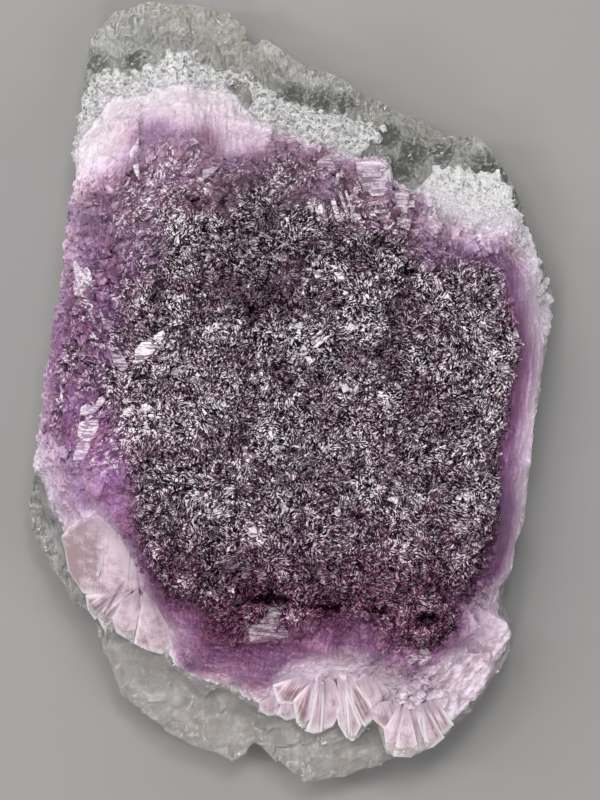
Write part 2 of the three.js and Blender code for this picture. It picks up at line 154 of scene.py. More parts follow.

# Flat faces that shine among the rough crystals: how pale each is, which sets both its colour and the sheen
# painted on it, and its outline
FACES = [
    (0.35, [(8, 29), (11.2, 29.2), (11.9, 28.2), (11.2, 26.9), (9.4, 26.6), (8.3, 27.4)]),
    (0.55, [(3.8, 29.1), (5.5, 29.6), (5.7, 28.1), (4.9, 27.3), (3.8, 27.6)]),
    (0.6, [(9.2, 26), (10.6, 26.4), (12.2, 25.8), (11.9, 24.7), (10.1, 24.7)]),
    (0.45, [(9.6, 23.9), (12.2, 24.2), (12.2, 23.8), (9.7, 23.4)]),
    (0.5, [(9.9, 22.8), (12.3, 23.1), (12.3, 22.6), (10, 22.4)]),
    (0.6, [(13, 24.2), (15.6, 24.2), (15.6, 23.3), (13.1, 23.1)]),
    (0.6, [(13.1, 22.1), (15.2, 21.8), (14.8, 20.3), (13.5, 20.8)]),
    (0.7, [(4.6, 25.2), (5.1, 25.4), (6.5, 20.8), (5.9, 20.3)]),
    (0.6, [(5.7, 25.5), (6.1, 25.6), (7.4, 22.1), (7, 21.8)]),
    (0.5, [(6.6, 25.3), (6.9, 25.4), (7.9, 22.8), (7.6, 22.5)]),
    (0.55, [(1.9, 23.8), (2.3, 24.4), (2.9, 22.7), (2.5, 22.3)]),
    (0.95, [(-20.6, 30.2), (-19.4, 32.2), (-19.2, 26.6), (-19.8, 27.6)]),
    (0.8, [(-27.8, 16.8), (-27.2, 16.4), (-26.8, 15.7), (-26.1, 16.1), (-25.5, 15.3), (-25.2, 14.4),
           (-25.6, 13.4), (-26, 12.6), (-26.7, 12), (-27.6, 12.2), (-27.8, 13.3), (-27.5, 14.3),
           (-27.7, 15.6)]),
    (0.8, [(-19.7, 3.5), (-19.8, 5.2), (-18.9, 6.3), (-17.7, 7), (-16.1, 7.8), (-15.9, 7.2), (-16.6, 5.9),
           (-17.7, 4.6), (-18.8, 3.7)]),
    (0.7, [(-26.8, -3.8), (-24.4, -3.4), (-24.3, -4.5), (-25, -5.7), (-25.5, -7.2), (-26.4, -8.7),
           (-27.7, -8.7), (-27.5, -7.4), (-27, -6.1), (-27.1, -4.8)]),
    (0.6, [(-26.8, -3), (-26.6, -1.8), (-25.3, -1.2), (-23.9, -0.5), (-23.5, -1.2), (-24.6, -2.5),
           (-25.9, -3)]),
    (0.45, [(-22.8, 5), (-20.9, 4.4), (-20.6, 3), (-21.4, 2.4), (-22.4, 3.2)]),
    (0.55, [(-25.8, 10.4), (-25.3, 10.6), (-24.7, 8.6), (-25.1, 8.4)]),
    (0.5, [(-24.4, 10.4), (-24, 10.4), (-23.4, 8.6), (-23.8, 8.5)]),
    (0.5, [(-11.3, 28), (-9.1, 28.5), (-10.1, 27.3), (-11.2, 26.5)]),
    (0.6, [(14.2, -33.4), (15.6, -32.9), (16.1, -33.8), (14.9, -34.6)]),
    (0.55, [(15.4, -31.2), (17, -31), (16.6, -32)]),
    (0.95, [(2.6, 15.1), (3.5, 15.5), (3.9, 14.6), (3.1, 14.1)]),
    (0.9, [(5.3, 15), (6.3, 15.1), (6.7, 14.1), (5.8, 13.7)]),
    (0.85, [(10.5, 15), (11, 15), (11, 13.2), (10.6, 13.4)]),
    (0.85, [(0.1, 7.5), (1.1, 8.1), (1.2, 7)]),
    (0.85, [(2.6, 5.6), (4.2, 6.9), (5, 7.2), (3.2, 5.5)]),
    (0.75, [(2.3, 6.6), (3.9, 8), (4.2, 7.8), (2.7, 6.4)]),
    (0.8, [(-0.4, 3.7), (0.4, 4.9), (0.8, 4.7), (0.1, 3.5)]),
    (0.75, [(0.8, 4.1), (1.8, 5.3), (2.3, 5.1), (1.2, 4)]),
    (0.7, [(26.1, 3.6), (27.4, 3.8), (27.6, 2.4), (26.6, 1.8)]),
    (0.7, [(-5.6, -17.2), (-4.5, -17), (-4.2, -18.2), (-5.2, -18.5)]),
    (0.65, [(5.3, -14.6), (6.1, -14.4), (6.2, -15.6), (5.5, -15.8)]),
    (0.65, [(23, -9.6), (23.7, -9.7), (23.5, -11), (22.9, -10.8)]),
]

# Spots where brighter glints are painted on the small crystals as highlights: x, y and radius
PAINTED_GLINT_SPOTS = [
    (-10.0, 7.7, 1.4), (-8.4, 1.3, 1.2), (6.5, 0.7, 1.3), (12.0, -0.7, 1.3), (-19.1, -3.9, 2.0),
    (26.7, 2.6, 1.3), (-4.8, -17.9, 1.2), (1.4, 6.5, 2.2), (4.9, 14.8, 1.4), (16.5, 13.9, 1.1),
    (21.2, -14.0, 1.1), (-7.6, -12.8, 1.0), (-14.6, 20.4, 1.2), (9.0, 9.0, 2.6), (-2.6, -6.0, 2.0),
]

# Hollows between the small crystals, sunk into the crust and painted dark as shade: x, y, and the reach along
# X and Y
HOLLOWS = [
    (-2.6, -26.2, 2.7, 1), (6.1, 11, 0.9, 0.6), (-5.1, 10.1, 0.7, 0.9), (5.6, 5.3, 0.6, 0.9),
    (-0.1, 1.2, 0.7, 0.6), (11, 19.2, 1.2, 0.8), (14.7, 15.2, 1.4, 0.9), (5, -27.2, 2.4, 0.6),
    (10.8, -27.6, 2, 0.7), (17, -28.6, 1.8, 0.8), (22.4, -25, 0.9, 1.8), (-19.2, 2, 1.6, 0.6),
    (-12, 24, 1.8, 0.7), (-17, 12.6, 0.6, 1.3), (8.4, -15.6, 0.9, 0.7),
]

# Patches of white sugar on the clear layer
SUGAR_PATCHES = [
    [(-26.8, 38.4), (-25.4, 41.2), (-19.4, 41.2), (-15.5, 43.9), (-12.8, 43.4), (-12.6, 42.0),
     (-8.2, 41.6), (-7.6, 38.6), (-13.0, 38.8), (-17.4, 38.4), (-19.2, 36.6), (-25.0, 35.6)],
    [(-8.4, 41.2), (-5.9, 41.2), (-2.9, 38.2), (2.7, 36.2), (10.4, 35.0), (11.6, 33.4), (9.4, 31.4),
     (7.9, 28.8), (2.3, 30.5), (-3.1, 32.3), (-5.6, 35.2), (-4.4, 38.0), (-6.0, 39.8)],
    [(16.4, 26.6), (19.0, 28.6), (22.0, 29.2), (25.9, 28.0), (27.9, 26.4), (29.4, 23.6), (31.0, 18.6),
     (33.0, 12.0), (33.8, 8.4), (32.6, 7.4), (31.0, 12.0), (28.4, 19.6), (22.0, 20.6), (17.4, 22.6)],
    [(-28.8, 34.4), (-27.0, 38.6), (-24.6, 37.0), (-25.4, 33.0), (-27.0, 29.6), (-29.4, 29.0)],
]

# Faint stains in the clear layer: x, y and radius
STAINS = [
    (-9.0, 46.6, 4.6), (-4.4, 43.6, 3.0), (10.6, 36.8, 3.0), (-15.6, 50.4, 4.2), (-6.4, 38.8, 1.8),
    (17.6, 33.8, 3.0),
]

# Glassy windows in the clear layer, painted dark as the shade seen through them: x, y and radius
WINDOWS = [
    (-25.4, 42.6, 1.9), (-20.2, 42.6, 2.0), (0.4, 38.6, 1.9), (3.6, 37.8, 2.0), (6.8, 37.4, 1.6),
    (12.6, 33.2, 2.0), (15.6, 31.0, 2.4), (13.6, 28.6, 2.4), (19.4, 31.0, 1.8), (25.0, 29.6, 2.0),
    (-27.6, 38.6, 1.0), (-27.9, 35.6, 1.0), (27.0, 28.4, 1.8), (28.6, 25.2, 1.4),
]


def place(x, y, z):
    """A point of the tables in the frame, in metres."""
    return Vector(((x + ZERO_X) * MM, (y + ZERO_Y) * MM, z * MM))


def length_setting(name, description, millimetres):
    """A length that a user may change."""
    return FloatProperty(
        name=name, description=description, default=millimetres * MM, unit="LENGTH", precision=5)


def density_setting(name, description, number):
    """A number of crystals on a square millimetre that a user may change."""
    return FloatProperty(name=name, description=description, default=number)


def colour_setting(name, description, *shade):
    """A colour that a user may change."""
    return FloatVectorProperty(
        name=name, description=description, subtype="COLOR", size=4, default=(*shade, 1))


class SpecimenSizes(bpy.types.PropertyGroup):
    """The sizes that set the specimen's detail."""

    cut_height: length_setting("Cut height", "Height at which the crust starts inside the clear layer", 6.0)
    crust_detail: length_setting("Crust detail", "Edge length of the crust's mesh", 0.335)
    clear_detail: length_setting("Clear detail", "Edge length of the clear layer's mesh", 0.42)
    facet: length_setting("Facet", "Width of a flat facet of the crust", 0.95)
    facet_relief: length_setting("Facet relief", "How far the facets stand in and out", 0.55)
    grain_small: length_setting("Smallest grain", "Edge of the smallest crystal on the plateau", 0.30)
    grain_large: length_setting("Largest grain", "Edge of the largest crystal on the plateau", 0.95)
    grain_density: density_setting("Grains", "Crystals on a square millimetre of the plateau", 3.4)
    shard_density: density_setting("Shards", "Pointed crystals on a square millimetre of the crust", 5.6)
    slope_density: density_setting("Slope crystals", "Crystals on a square millimetre of the slopes", 1.6)
    sugar_density: density_setting("Sugar", "White grains on a square millimetre of the sugar", 14.0)
    sugar_detail: length_setting("Sugar detail", "Edge length of the sugar's mesh", 0.20)
    bevel: length_setting("Bevel", "Width of the worn edge of a large crystal", 0.10)


class SpecimenColours(bpy.types.PropertyGroup):
    """The colours of the two layers and of the floor."""

    plum: colour_setting("Plum", "The dark middle of the crust", 0.034, 0.006, 0.022)
    violet: colour_setting("Violet", "The crust between its middle and its edge", 0.215, 0.096, 0.195)
    lilac: colour_setting("Lilac", "The crust near its edge", 0.54, 0.40, 0.495)
    milk: colour_setting("Milk", "The crust's edge", 0.72, 0.665, 0.70)
    # The next two colours are painted light: the half-lit tone and the highlight of the glints painted into
    # the crust's colour
    painted_half_light: colour_setting("Mauve", "Crystals in half light", 0.37, 0.255, 0.32)
    painted_glint: colour_setting("Fleck", "Crystals that look silvery", 0.84, 0.78, 0.81)
    lip: colour_setting("Lip", "The clear layer's smooth lower end", 0.80, 0.74, 0.70)
    glass: colour_setting("Glass", "The clear layer", 0.96, 0.96, 0.95)
    stain: colour_setting("Stain", "Stains in the clear layer", 0.72, 0.65, 0.46)
    # The next colour is painted shade: the dark seen through the clear glassy windows
    window: colour_setting("Window", "Dark glassy windows in the clear layer", 0.20, 0.21, 0.195)
    floor: colour_setting("Floor", "The floor that the specimen lies on", 0.255, 0.249, 0.245)


class SpecimenView(bpy.types.PropertyGroup):
    """The camera, which looks straight down."""

    camera_height: length_setting("Camera height", "Height of the camera over the floor", 500)
    frame_height: length_setting("Frame height", "Height of the picture at the specimen", 104)


class Wire:
    """One output of a node. Arithmetic on it adds Math nodes to its tree."""

    def __init__(self, nodes, socket):
        self.nodes = nodes
        self.socket = socket

    def math(self, operation, first, second=0.0):
        return self.nodes.add("ShaderNodeMath", {"operation": operation}, {0: first, 1: second})

    def __add__(self, other):
        return self.math("ADD", self, other)

    __radd__ = __add__

    def __sub__(self, other):
        return self.math("SUBTRACT", self, other)

    def __rsub__(self, other):
        return self.math("SUBTRACT", other, self)

    def __mul__(self, other):
        return self.math("MULTIPLY", self, other)

    __rmul__ = __mul__

    def __truediv__(self, other):
        return self.math("DIVIDE", self, other)

    def __pow__(self, other):
        return self.math("POWER", self, other)

    def __gt__(self, other):
        return self.math("GREATER_THAN", self, other)

    def at_least(self, other):
        return self.math("MAXIMUM", self, other)

    def at_most(self, other):
        return self.math("MINIMUM", self, other)

    def size(self):
        return self.math("ABSOLUTE", self)

    def thin_line(self, sharpness):
        """1 where the value is a half, falling to 0 on both sides."""
        return (1 - (self - 0.5).size() * sharpness).at_least(0)

    def ramp(self, low, high):
        """0 below low, 1 above high and a smooth step between."""
        return self.nodes.add("ShaderNodeMapRange", {"interpolation_type": "SMOOTHSTEP"},
                              {"Value": self, "From Min": low, "From Max": high})


class Nodes:
    """Adds nodes to one empty tree."""

    def __init__(self, tree):
        self.tree = tree
        tree.nodes.clear()

    def add(self, kind, settings=None, values=None, output=0):
        """A new node: its settings, then the values or links of its sockets. Gives one of its outputs."""
        node = self.tree.nodes.new(kind)
        for name, value in (settings or {}).items():
            if name == "stops":
                self.set_stops(node.color_ramp.elements, value)
            else:
                setattr(node, name, value)
        for key, value in (values or {}).items():
            if isinstance(value, Wire):
                self.tree.links.new(value.socket, node.inputs[key])
            else:
                node.inputs[key].default_value = value
        return Wire(self, node.outputs[output]) if node.outputs else node

    @staticmethod
    def set_stops(elements, stops):
        while len(elements) < len(stops):
            elements.new(1.0)
        for element, (position, colour) in zip(elements, stops):
            element.position = position
            element.color = colour

    def vector(self, operation, first, second=(0, 0, 0), output=0):
        return self.add("ShaderNodeVectorMath", {"operation": operation}, {0: first, 1: second}, output)

    def scaled(self, vector, scale):
        return self.add("ShaderNodeVectorMath", {"operation": "SCALE"}, {0: vector, "Scale": scale})

    def parts(self, vector):
        """The X, Y and Z of a vector."""
        return [self.add("ShaderNodeSeparateXYZ", None, {0: vector}, axis) for axis in range(3)]

    def mixed(self, factor, first, second, blend="MIX"):
        """Two colours mixed."""
        return self.add("ShaderNodeMix", {"data_type": "RGBA", "blend_type": blend},
                        {0: factor, 6: first, 7: second}, 2)

    def grey(self, value):
        return self.add("ShaderNodeCombineColor", None, {0: value, 1: value, 2: value})

    def noise(self, vector, scale, detail=2.0, output=0):
        values = {"Vector": vector, "Scale": scale, "Detail": detail}
        return self.add("ShaderNodeTexNoise", None, values, output)

    def drawn_noise(self, vector, scales, detail):
        """Noise with a scale of its own along X, Y and Z."""
        return self.noise(self.vector("MULTIPLY", vector, scales), 1.0, detail)

    def bent(self, vector, scale, reach):
        """A position pushed about by noise."""
        return self.vector("ADD", vector, self.scaled(self.noise(vector, scale, 2.0, "Color"), reach))

    def turned(self, vector, angle):
        """A position turned about Z."""
        values = {"Vector": vector, "Angle": angle}
        return self.add("ShaderNodeVectorRotate", {"rotation_type": "Z_AXIS"}, values)

    def cells(self, vector, scale, output="Color"):
        """A random colour of the nearest cell, or another output of the Voronoi texture."""
        return self.add("ShaderNodeTexVoronoi", None, {"Vector": vector, "Scale": scale}, output)


def activate(piece):
    """Makes a piece the only one that is selected."""
    bpy.ops.object.select_all(action="DESELECT")
    piece.select_set(True)
    bpy.context.view_layer.objects.active = piece


@contextmanager
def edit_mode(select_all=True):
    """Edit mode on the active piece, with all of it selected or only what was selected before."""
    bpy.ops.object.mode_set(mode="EDIT")
    if select_all:
        bpy.ops.mesh.select_all(action="SELECT")
    yield
    bpy.ops.object.mode_set(mode="OBJECT")


def select_upper(piece):
    """Selects the faces of a piece that look up."""
    for polygon in piece.data.polygons:
        polygon.select = polygon.normal.z > 0.3
    activate(piece)


def apply_modifier(piece, kind, **settings):
    """Adds a modifier to a piece and applies it."""
    activate(piece)
    modifier = piece.modifiers.new(kind.title(), kind)
    for name, value in settings.items():
        setattr(modifier, name, value)
    bpy.ops.object.modifier_apply(modifier=modifier.name)


def copy_of_solid(name):
    """A copy of the specimen's solid with its loose triangles merged."""
    piece = bpy.data.objects.new(name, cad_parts["fluorite"].data.copy())
    piece.data.name = name
    bpy.context.scene.collection.objects.link(piece)
    activate(piece)
    with edit_mode():
        bpy.ops.mesh.remove_doubles(threshold=1e-6)
    return piece


def prism(name, outline, low, high, inset=0.0):
    """A closed prism over an outline in the tables' millimetres, between two heights in metres."""
    bpy.ops.object.select_all(action="DESELECT")
    bpy.ops.mesh.primitive_circle_add(vertices=len(outline), fill_type="NGON")
    piece = bpy.context.active_object
    piece.name = name
    middle = sum((Vector(point) for point in outline), Vector((0, 0))) / len(outline)
    for vertex, point in zip(piece.data.vertices, outline):
        inward = middle - Vector(point)
        moved = Vector(point) + inward * inset / inward.length
        vertex.co = place(moved.x, moved.y, low / MM)
    with edit_mode():
        bpy.ops.mesh.extrude_region_move(TRANSFORM_OT_translate={"value": (0, 0, high - low)})
        bpy.ops.mesh.select_all(action="SELECT")
        bpy.ops.mesh.normals_make_consistent(inside=False)
    return piece


def cut_by(piece, cutter, operation):
    """Cuts a piece by a cutter, which is then removed."""
    apply_modifier(piece, "BOOLEAN", operation=operation, solver="EXACT", object=cutter)
    bpy.data.objects.remove(cutter)


def joined(pieces, name):
    """Several pieces made one."""
    bpy.ops.object.select_all(action="DESELECT")
    for piece in pieces:
        piece.select_set(True)
    bpy.context.view_layer.objects.active = pieces[0]
    bpy.ops.object.join()
    pieces[0].name = pieces[0].data.name = name
    return pieces[0]


def points_of(piece):
    """The vertices of a piece in the tables' millimetres."""
    places = np.zeros(len(piece.data.vertices) * 3)
    piece.data.vertices.foreach_get("co", places)
    return places.reshape(-1, 3) / MM - (ZERO_X, ZERO_Y, 0)


def depth_inside(outline, points):
    """How far each point is inside an outline, negative outside."""
    corners = np.array(outline)
    ahead = np.roll(corners, -1, axis=0) - corners
    nearest = np.full(len(points), np.inf)
    inside = np.zeros(len(points), bool)
    for (x, y), (along_x, along_y) in zip(corners, ahead):
        from_x = points[:, 0] - x
        from_y = points[:, 1] - y
        share = np.clip((from_x * along_x + from_y * along_y) / (along_x**2 + along_y**2), 0, 1)
        nearest = np.minimum(nearest, np.hypot(from_x - share * along_x, from_y - share * along_y))
        crosses = (from_y < 0) != (from_y < along_y)
        if along_y:
            inside ^= crosses & (from_x < along_x * from_y / along_y)
    return np.where(inside, nearest, -nearest)


def lie_of_crystal(root_height, tip_height, tilt, outline):
    """Which way a crystal of the fringe points, and its top's height at the zero point and slopes."""
    points = [Vector(point) for point in outline]
    down = (sum(points, Vector((0, 0))) / len(points) - points[0]).normalized()
    reach = max((point - points[0]).dot(down) for point in points)
    fall = (tip_height - root_height) / reach
    lean = math.tan(math.radians(tilt))
    slopes = Vector((fall * down.x + lean * down.y, fall * down.y - lean * down.x))
    return down, root_height - slopes.dot(points[0]), slopes


def crust_height(x, y):
    """The height of the purple crust at a place of the tables, or None beside it."""
    crust = bpy.data.objects["purple_crust"]
    hit, spot, _, _ = crust.ray_cast(place(x, y, OVER_CRUST), Vector((0, 0, -1)))
    return spot.z / MM if hit else None


def write_value(piece, name, values):
    attribute = piece.data.attributes.new(name, "FLOAT", "POINT")
    attribute.data.foreach_set("value", values.astype(np.float32))


def step(values, low, high):
    """0 below low, 1 above high and a smooth step between."""
    share = np.clip((values - low) / (high - low), 0, 1)
    return share * share * (3 - 2 * share)


def smooth_share(points, shade):
    """How smooth the crust is at each point: the wall at the right, the milky slope at the upper left with
    the blades beside it, and the left side and the right corner of the lower end."""
    x, y, z = points.T
    wall = step(x, 23.5, 26.5) * step(y, -29, -23) * step(-y, -19, -13) * step(-z, -20, -18)
    milky = step(y, 27.5, 31.5) * step(-x, 1, 5) * step(x, -20.5, -17.5) * step(-z, -19.5, -17) * 0.9
    blades = step(y, 26.0, 29.5) * step(-x, 18.5, 20.5) * 0.75
    lower = step(-y, 8, 13) * step(-x, -14, -9) * step(-shade, -2.9, -2.35) * 0.65
    corner = step(-y, 26, 29) * step(x, 17, 20) * step(-shade, -2.7, -2.2) * 0.7
    return np.max([wall, milky, blades, lower, corner], axis=0)


def write_shade(piece, paler=0.0):
    """Writes each point's shade, which is 0 and less where white, 1 lilac, 2 violet and 3 plum, how much
    lighter it looks than that, and how smooth the crust is there."""
    points = points_of(piece)
    x, y, _ = points.T
    table = np.array(DEEPENING, float)
    weights = 1 / (((points[:, None, :2] - table[None, :, :2]) ** 2).sum(2) + 2) ** 2
    lilac, violet, plum = (weights @ table[:, 2:] / weights.sum(1, keepdims=True)).T
    depth = depth_inside(PURPLE_OUTLINE, points)
    shade = np.clip(depth / lilac, -1, 1)
    shade += np.clip((depth - lilac) / (violet - lilac), 0, 1)
    shade += np.clip((depth - violet) / (plum - violet), 0, 1)
    light = np.zeros(len(points))
    for middle_x, middle_y, radius, deeper, lighter in PLACES:
        near = np.exp(-((x - middle_x) ** 2 + (y - middle_y) ** 2) / radius**2)
        shade += deeper * near
        light += lighter * near
    write_value(piece, "shade", shade - paler)
    write_value(piece, "light", light)
    write_value(piece, "smooth", smooth_share(points, shade))


def write_painted_glint_and_shade(piece):
    """Writes the painted glints and shade at each point: 1 in the middle of a glint spot, -1 in a hollow, 0
    elsewhere.
    """
    points = points_of(piece)
    spots = [1.4 - np.hypot(points[:, 0] - x, points[:, 1] - y) / radius for x, y, radius in PAINTED_GLINT_SPOTS]
    write_value(piece, "silver", np.max(spots, axis=0).clip(0, 1) - in_hollows(points).clip(0, 1))


def in_hollows(points):
    """How far each point is in a hollow: 1.4 in its middle, 0 at its ragged edge, negative outside."""
    x, y = points[:, 0], points[:, 1]
    ragged = 0.3 * np.sin(2.9 * x + 1.1 * y) * np.sin(3.3 * y - 1.7 * x)
    away = [np.hypot((x - middle_x) / reach_x, (y - middle_y) / reach_y)
            for middle_x, middle_y, reach_x, reach_y in HOLLOWS]
    return 1.4 - np.min(away, axis=0) + ragged


def write_inside(piece, name, outlines):
    """Writes how many millimetres each point is inside the nearest of some outlines."""
    points = points_of(piece)
    write_value(piece, name, np.max([depth_inside(outline, points) for outline in outlines], axis=0))


def write_ridge(piece):
    """Writes how far each point stands out from its neighbours: over 0 on ridges and under 0 in recesses."""
    points = points_of(piece)
    normals = np.zeros(points.size)
    piece.data.vertices.foreach_get("normal", normals)
    normals = normals.reshape(-1, 3)
    ends = np.zeros(len(piece.data.edges) * 2, dtype=np.int64)
    piece.data.edges.foreach_get("vertices", ends)
    total = np.zeros(len(points))
    count = np.zeros(len(points))
    for here, there in (ends.reshape(-1, 2).T, ends.reshape(-1, 2)[:, ::-1].T):
        away = points[here] - points[there]
        rise = (away * normals[here]).sum(1) / np.linalg.norm(away, axis=1).clip(1e-6)
        np.add.at(total, here, rise)
        np.add.at(count, here, 1)
    write_value(piece, "ridge", total / count.clip(1))


def geometry_tree(name):
    """An empty Geometry Nodes tree with a geometry going in, and its input."""
    tree = bpy.data.node_groups.new(name, "GeometryNodeTree")
    tree.interface.new_socket("Geometry", in_out="INPUT", socket_type="NodeSocketGeometry")
    tree.interface.new_socket("Geometry", in_out="OUTPUT", socket_type="NodeSocketGeometry")
    nodes = Nodes(tree)
    return nodes, nodes.add("NodeGroupInput")


def apply_tree(piece, nodes, geometry):
    """Ends a Geometry Nodes tree at a geometry and applies it to a piece."""
    nodes.add("NodeGroupOutput", None, {0: geometry})
    apply_modifier(piece, "NODES", node_group=nodes.tree)
    bpy.data.node_groups.remove(nodes.tree)


def in_millimetres(nodes, position):
    """A position of the frame in the tables' millimetres."""
    return nodes.vector("SUBTRACT", nodes.scaled(position, 1 / MM), (ZERO_X, ZERO_Y, 0))


def geometry_place(nodes):
    return in_millimetres(nodes, nodes.add("GeometryNodeInputPosition"))


def named_value(nodes, name):
    return nodes.add("GeometryNodeInputNamedAttribute", {"data_type": "FLOAT"}, {"Name": name})


def facet_height(nodes, spot, size, seed):
    """The height of tilted flat facets, about -0.5 to 0.5 of their size."""
    spot = nodes.vector("ADD", nodes.scaled(spot, 1 / size), (seed, seed * 2, seed * 3))
    middle = nodes.cells(spot, 1.0, "Position")
    tilt = nodes.vector("SUBTRACT", nodes.cells(spot, 1.0), (0.5, 0.5, 0.5))
    return nodes.vector("DOT_PRODUCT", nodes.vector("SUBTRACT", spot, middle), tilt, "Value")


def displaced(piece, name, height):
    """Moves a piece's surface along its normals by a height in metres."""
    nodes, source = geometry_tree(name)
    offset = nodes.scaled(nodes.add("GeometryNodeInputNormal"), height(nodes, geometry_place(nodes)))
    moved = nodes.add("GeometryNodeSetPosition", None, {"Geometry": source, "Offset": offset})
    apply_tree(piece, nodes, moved)


def crystals_on(source, name, density, small, large, seed, mask, flat, cluster, sink, pointed=False):
    """A piece of small crystals on another piece's upper side, in clusters that turn the same way."""
    wobble = 0.22  # how far a crystal is turned away from its cluster, in radians
    follow = 0.55  # share of the crystals that turn with their cluster
    rarity = 2.4  # power that keeps most crystals small
    activate(source)
    bpy.ops.object.duplicate()
    piece = bpy.context.active_object
    piece.name = piece.data.name = name
    for key in list(piece.keys()):
        del piece[key]
    nodes, surface = geometry_tree(name)
    spot = geometry_place(nodes)
    facing = nodes.parts(nodes.add("GeometryNodeInputNormal"))[2]
    spread = facing.ramp(0.10, 0.40) * mask(nodes, spot) * (density / MM**2)
    points = nodes.add("GeometryNodeDistributePointsOnFaces", {"distribute_method": "RANDOM"},
                       {"Mesh": surface, "Density": spread, "Seed": seed}, "Points")

    def random_vector(low, high, number):
        return nodes.add("FunctionNodeRandomValue", {"data_type": "FLOAT_VECTOR"},
                         {0: low, 1: high, "Seed": seed + number})

    def random_share(number):
        return nodes.add("FunctionNodeRandomValue", {"data_type": "FLOAT"},
                         {2: 0.0, 3: 1.0, "Seed": seed + number}, 1)

    free = random_vector((0, 0, 0), (math.tau,) * 3, 1)
    shared = nodes.vector("ADD", nodes.scaled(nodes.cells(spot, 1 / cluster), math.tau),
                          random_vector((-wobble,) * 3, (wobble,) * 3, 2))
    alone = random_share(3) > follow
    turn = nodes.add("ShaderNodeMix", {"data_type": "VECTOR"}, {0: alone, 4: shared, 5: free}, 1)
    chance = random_share(4)
    stretch = random_vector((flat, 0.7, 0.8), (1.0, 1.2, 1.4), 5)
    size = nodes.scaled(stretch, small * MM + chance ** rarity * ((large - small) * MM))
    if pointed:
        shape = nodes.add("GeometryNodeMeshCone", {"fill_type": "NGON"}, {
            "Vertices": 4, "Radius Top": 0.0, "Radius Bottom": 0.75, "Depth": 1.0})
    else:
        shape = nodes.add("GeometryNodeMeshCube", None, {"Size": (1, 1, 1)})
    grains = nodes.add("GeometryNodeInstanceOnPoints", None,
                       {"Points": points, "Instance": shape, "Rotation": turn, "Scale": size})
    grains = nodes.add("GeometryNodeStoreNamedAttribute", {"data_type": "FLOAT", "domain": "INSTANCE"},
                       {"Geometry": grains, "Name": "tone", "Value": random_share(6)})
    grains = nodes.add("GeometryNodeTranslateInstances", None,
                       {"Instances": grains, "Translation": (0, 0, -sink * MM), "Local Space": False})
    apply_tree(piece, nodes, nodes.add("GeometryNodeRealizeInstances", None, {"Geometry": grains}))
    return piece


def finish_piece(piece, material):
    """Gives a piece its material and its place in the frame."""
    piece.data.materials.clear()
    piece.data.materials.append(material)
    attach(piece, "root")
    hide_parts("fluorite")


def new_material(name):
    material = bpy.data.materials.new(name)
    material.use_nodes = True
    return material, Nodes(material.node_tree)


def shader_place(nodes):
    """The shaded point in the tables' millimetres."""
    return in_millimetres(nodes, nodes.add("ShaderNodeTexCoord", None, None, "Object"))


def attribute_of(nodes, name):
    return nodes.add("ShaderNodeAttribute", {"attribute_name": name}, None, "Fac")


def finish_material(nodes, colour, roughness, index, relief, depth, strength, tilted=None, clear=0.0,
                    inside=None):
    """Ends a material with its shader and the bumps of its relief, whose depth is in millimetres."""
    bump = {"Strength": strength, "Distance": depth * MM, "Height": relief}
    if tilted is not None:
        bump["Normal"] = tilted
    shader = nodes.add("ShaderNodeBsdfPrincipled", None, {
        "Base Color": colour, "Roughness": roughness, "IOR": index, "Transmission Weight": clear,
        "Normal": nodes.add("ShaderNodeBump", None, bump)})
    sockets = {"Surface": shader}
    if inside is not None:
        sockets["Volume"] = inside
    nodes.add("ShaderNodeOutputMaterial", None, sockets)


def colour_between(first, second, share):
    return tuple(a + (b - a) * share for a, b in zip(first, second))


def shade_ramp(nodes, shade, colours):
    """The crust's colour from its shade."""
    steps = (colours.milk, colours.lilac, colours.violet, colours.plum)
    milk, lilac, violet, plum = (tuple(colour) for colour in steps)
    stops = [
        (0.0, milk), (1 / 3, lilac), (0.5, colour_between(lilac, violet, 0.62)), (2 / 3, violet),
        (0.80, colour_between(violet, plum, 0.35)), (0.91, colour_between(violet, plum, 0.82)), (1.0, plum),
    ]
    return nodes.add("ShaderNodeValToRGB", {"stops": stops}, {"Fac": shade / 3})


def tilted_normal(nodes, cell, strength):
    """The surface's normal, tilted by a cell's random colour."""
    tilt = nodes.scaled(nodes.vector("SUBTRACT", cell, (0.5, 0.5, 0.5)), strength)
    normal = nodes.add("ShaderNodeNewGeometry", None, None, "Normal")
    return nodes.vector("NORMALIZE", nodes.vector("ADD", normal, tilt))


def cell_streaks(nodes, spot, size, fineness):
    """Fine streaks that run one way within each cell of a size in millimetres, 0 to 1."""
    bent = nodes.bent(spot, 0.8 / size, size * 0.9)
    turn = nodes.add("ShaderNodeSeparateColor", None, {0: nodes.cells(bent, 1 / size)}, 0) * math.tau
    return nodes.drawn_noise(nodes.turned(bent, turn), (fineness, fineness * 0.22, fineness * 0.6), 2.0)


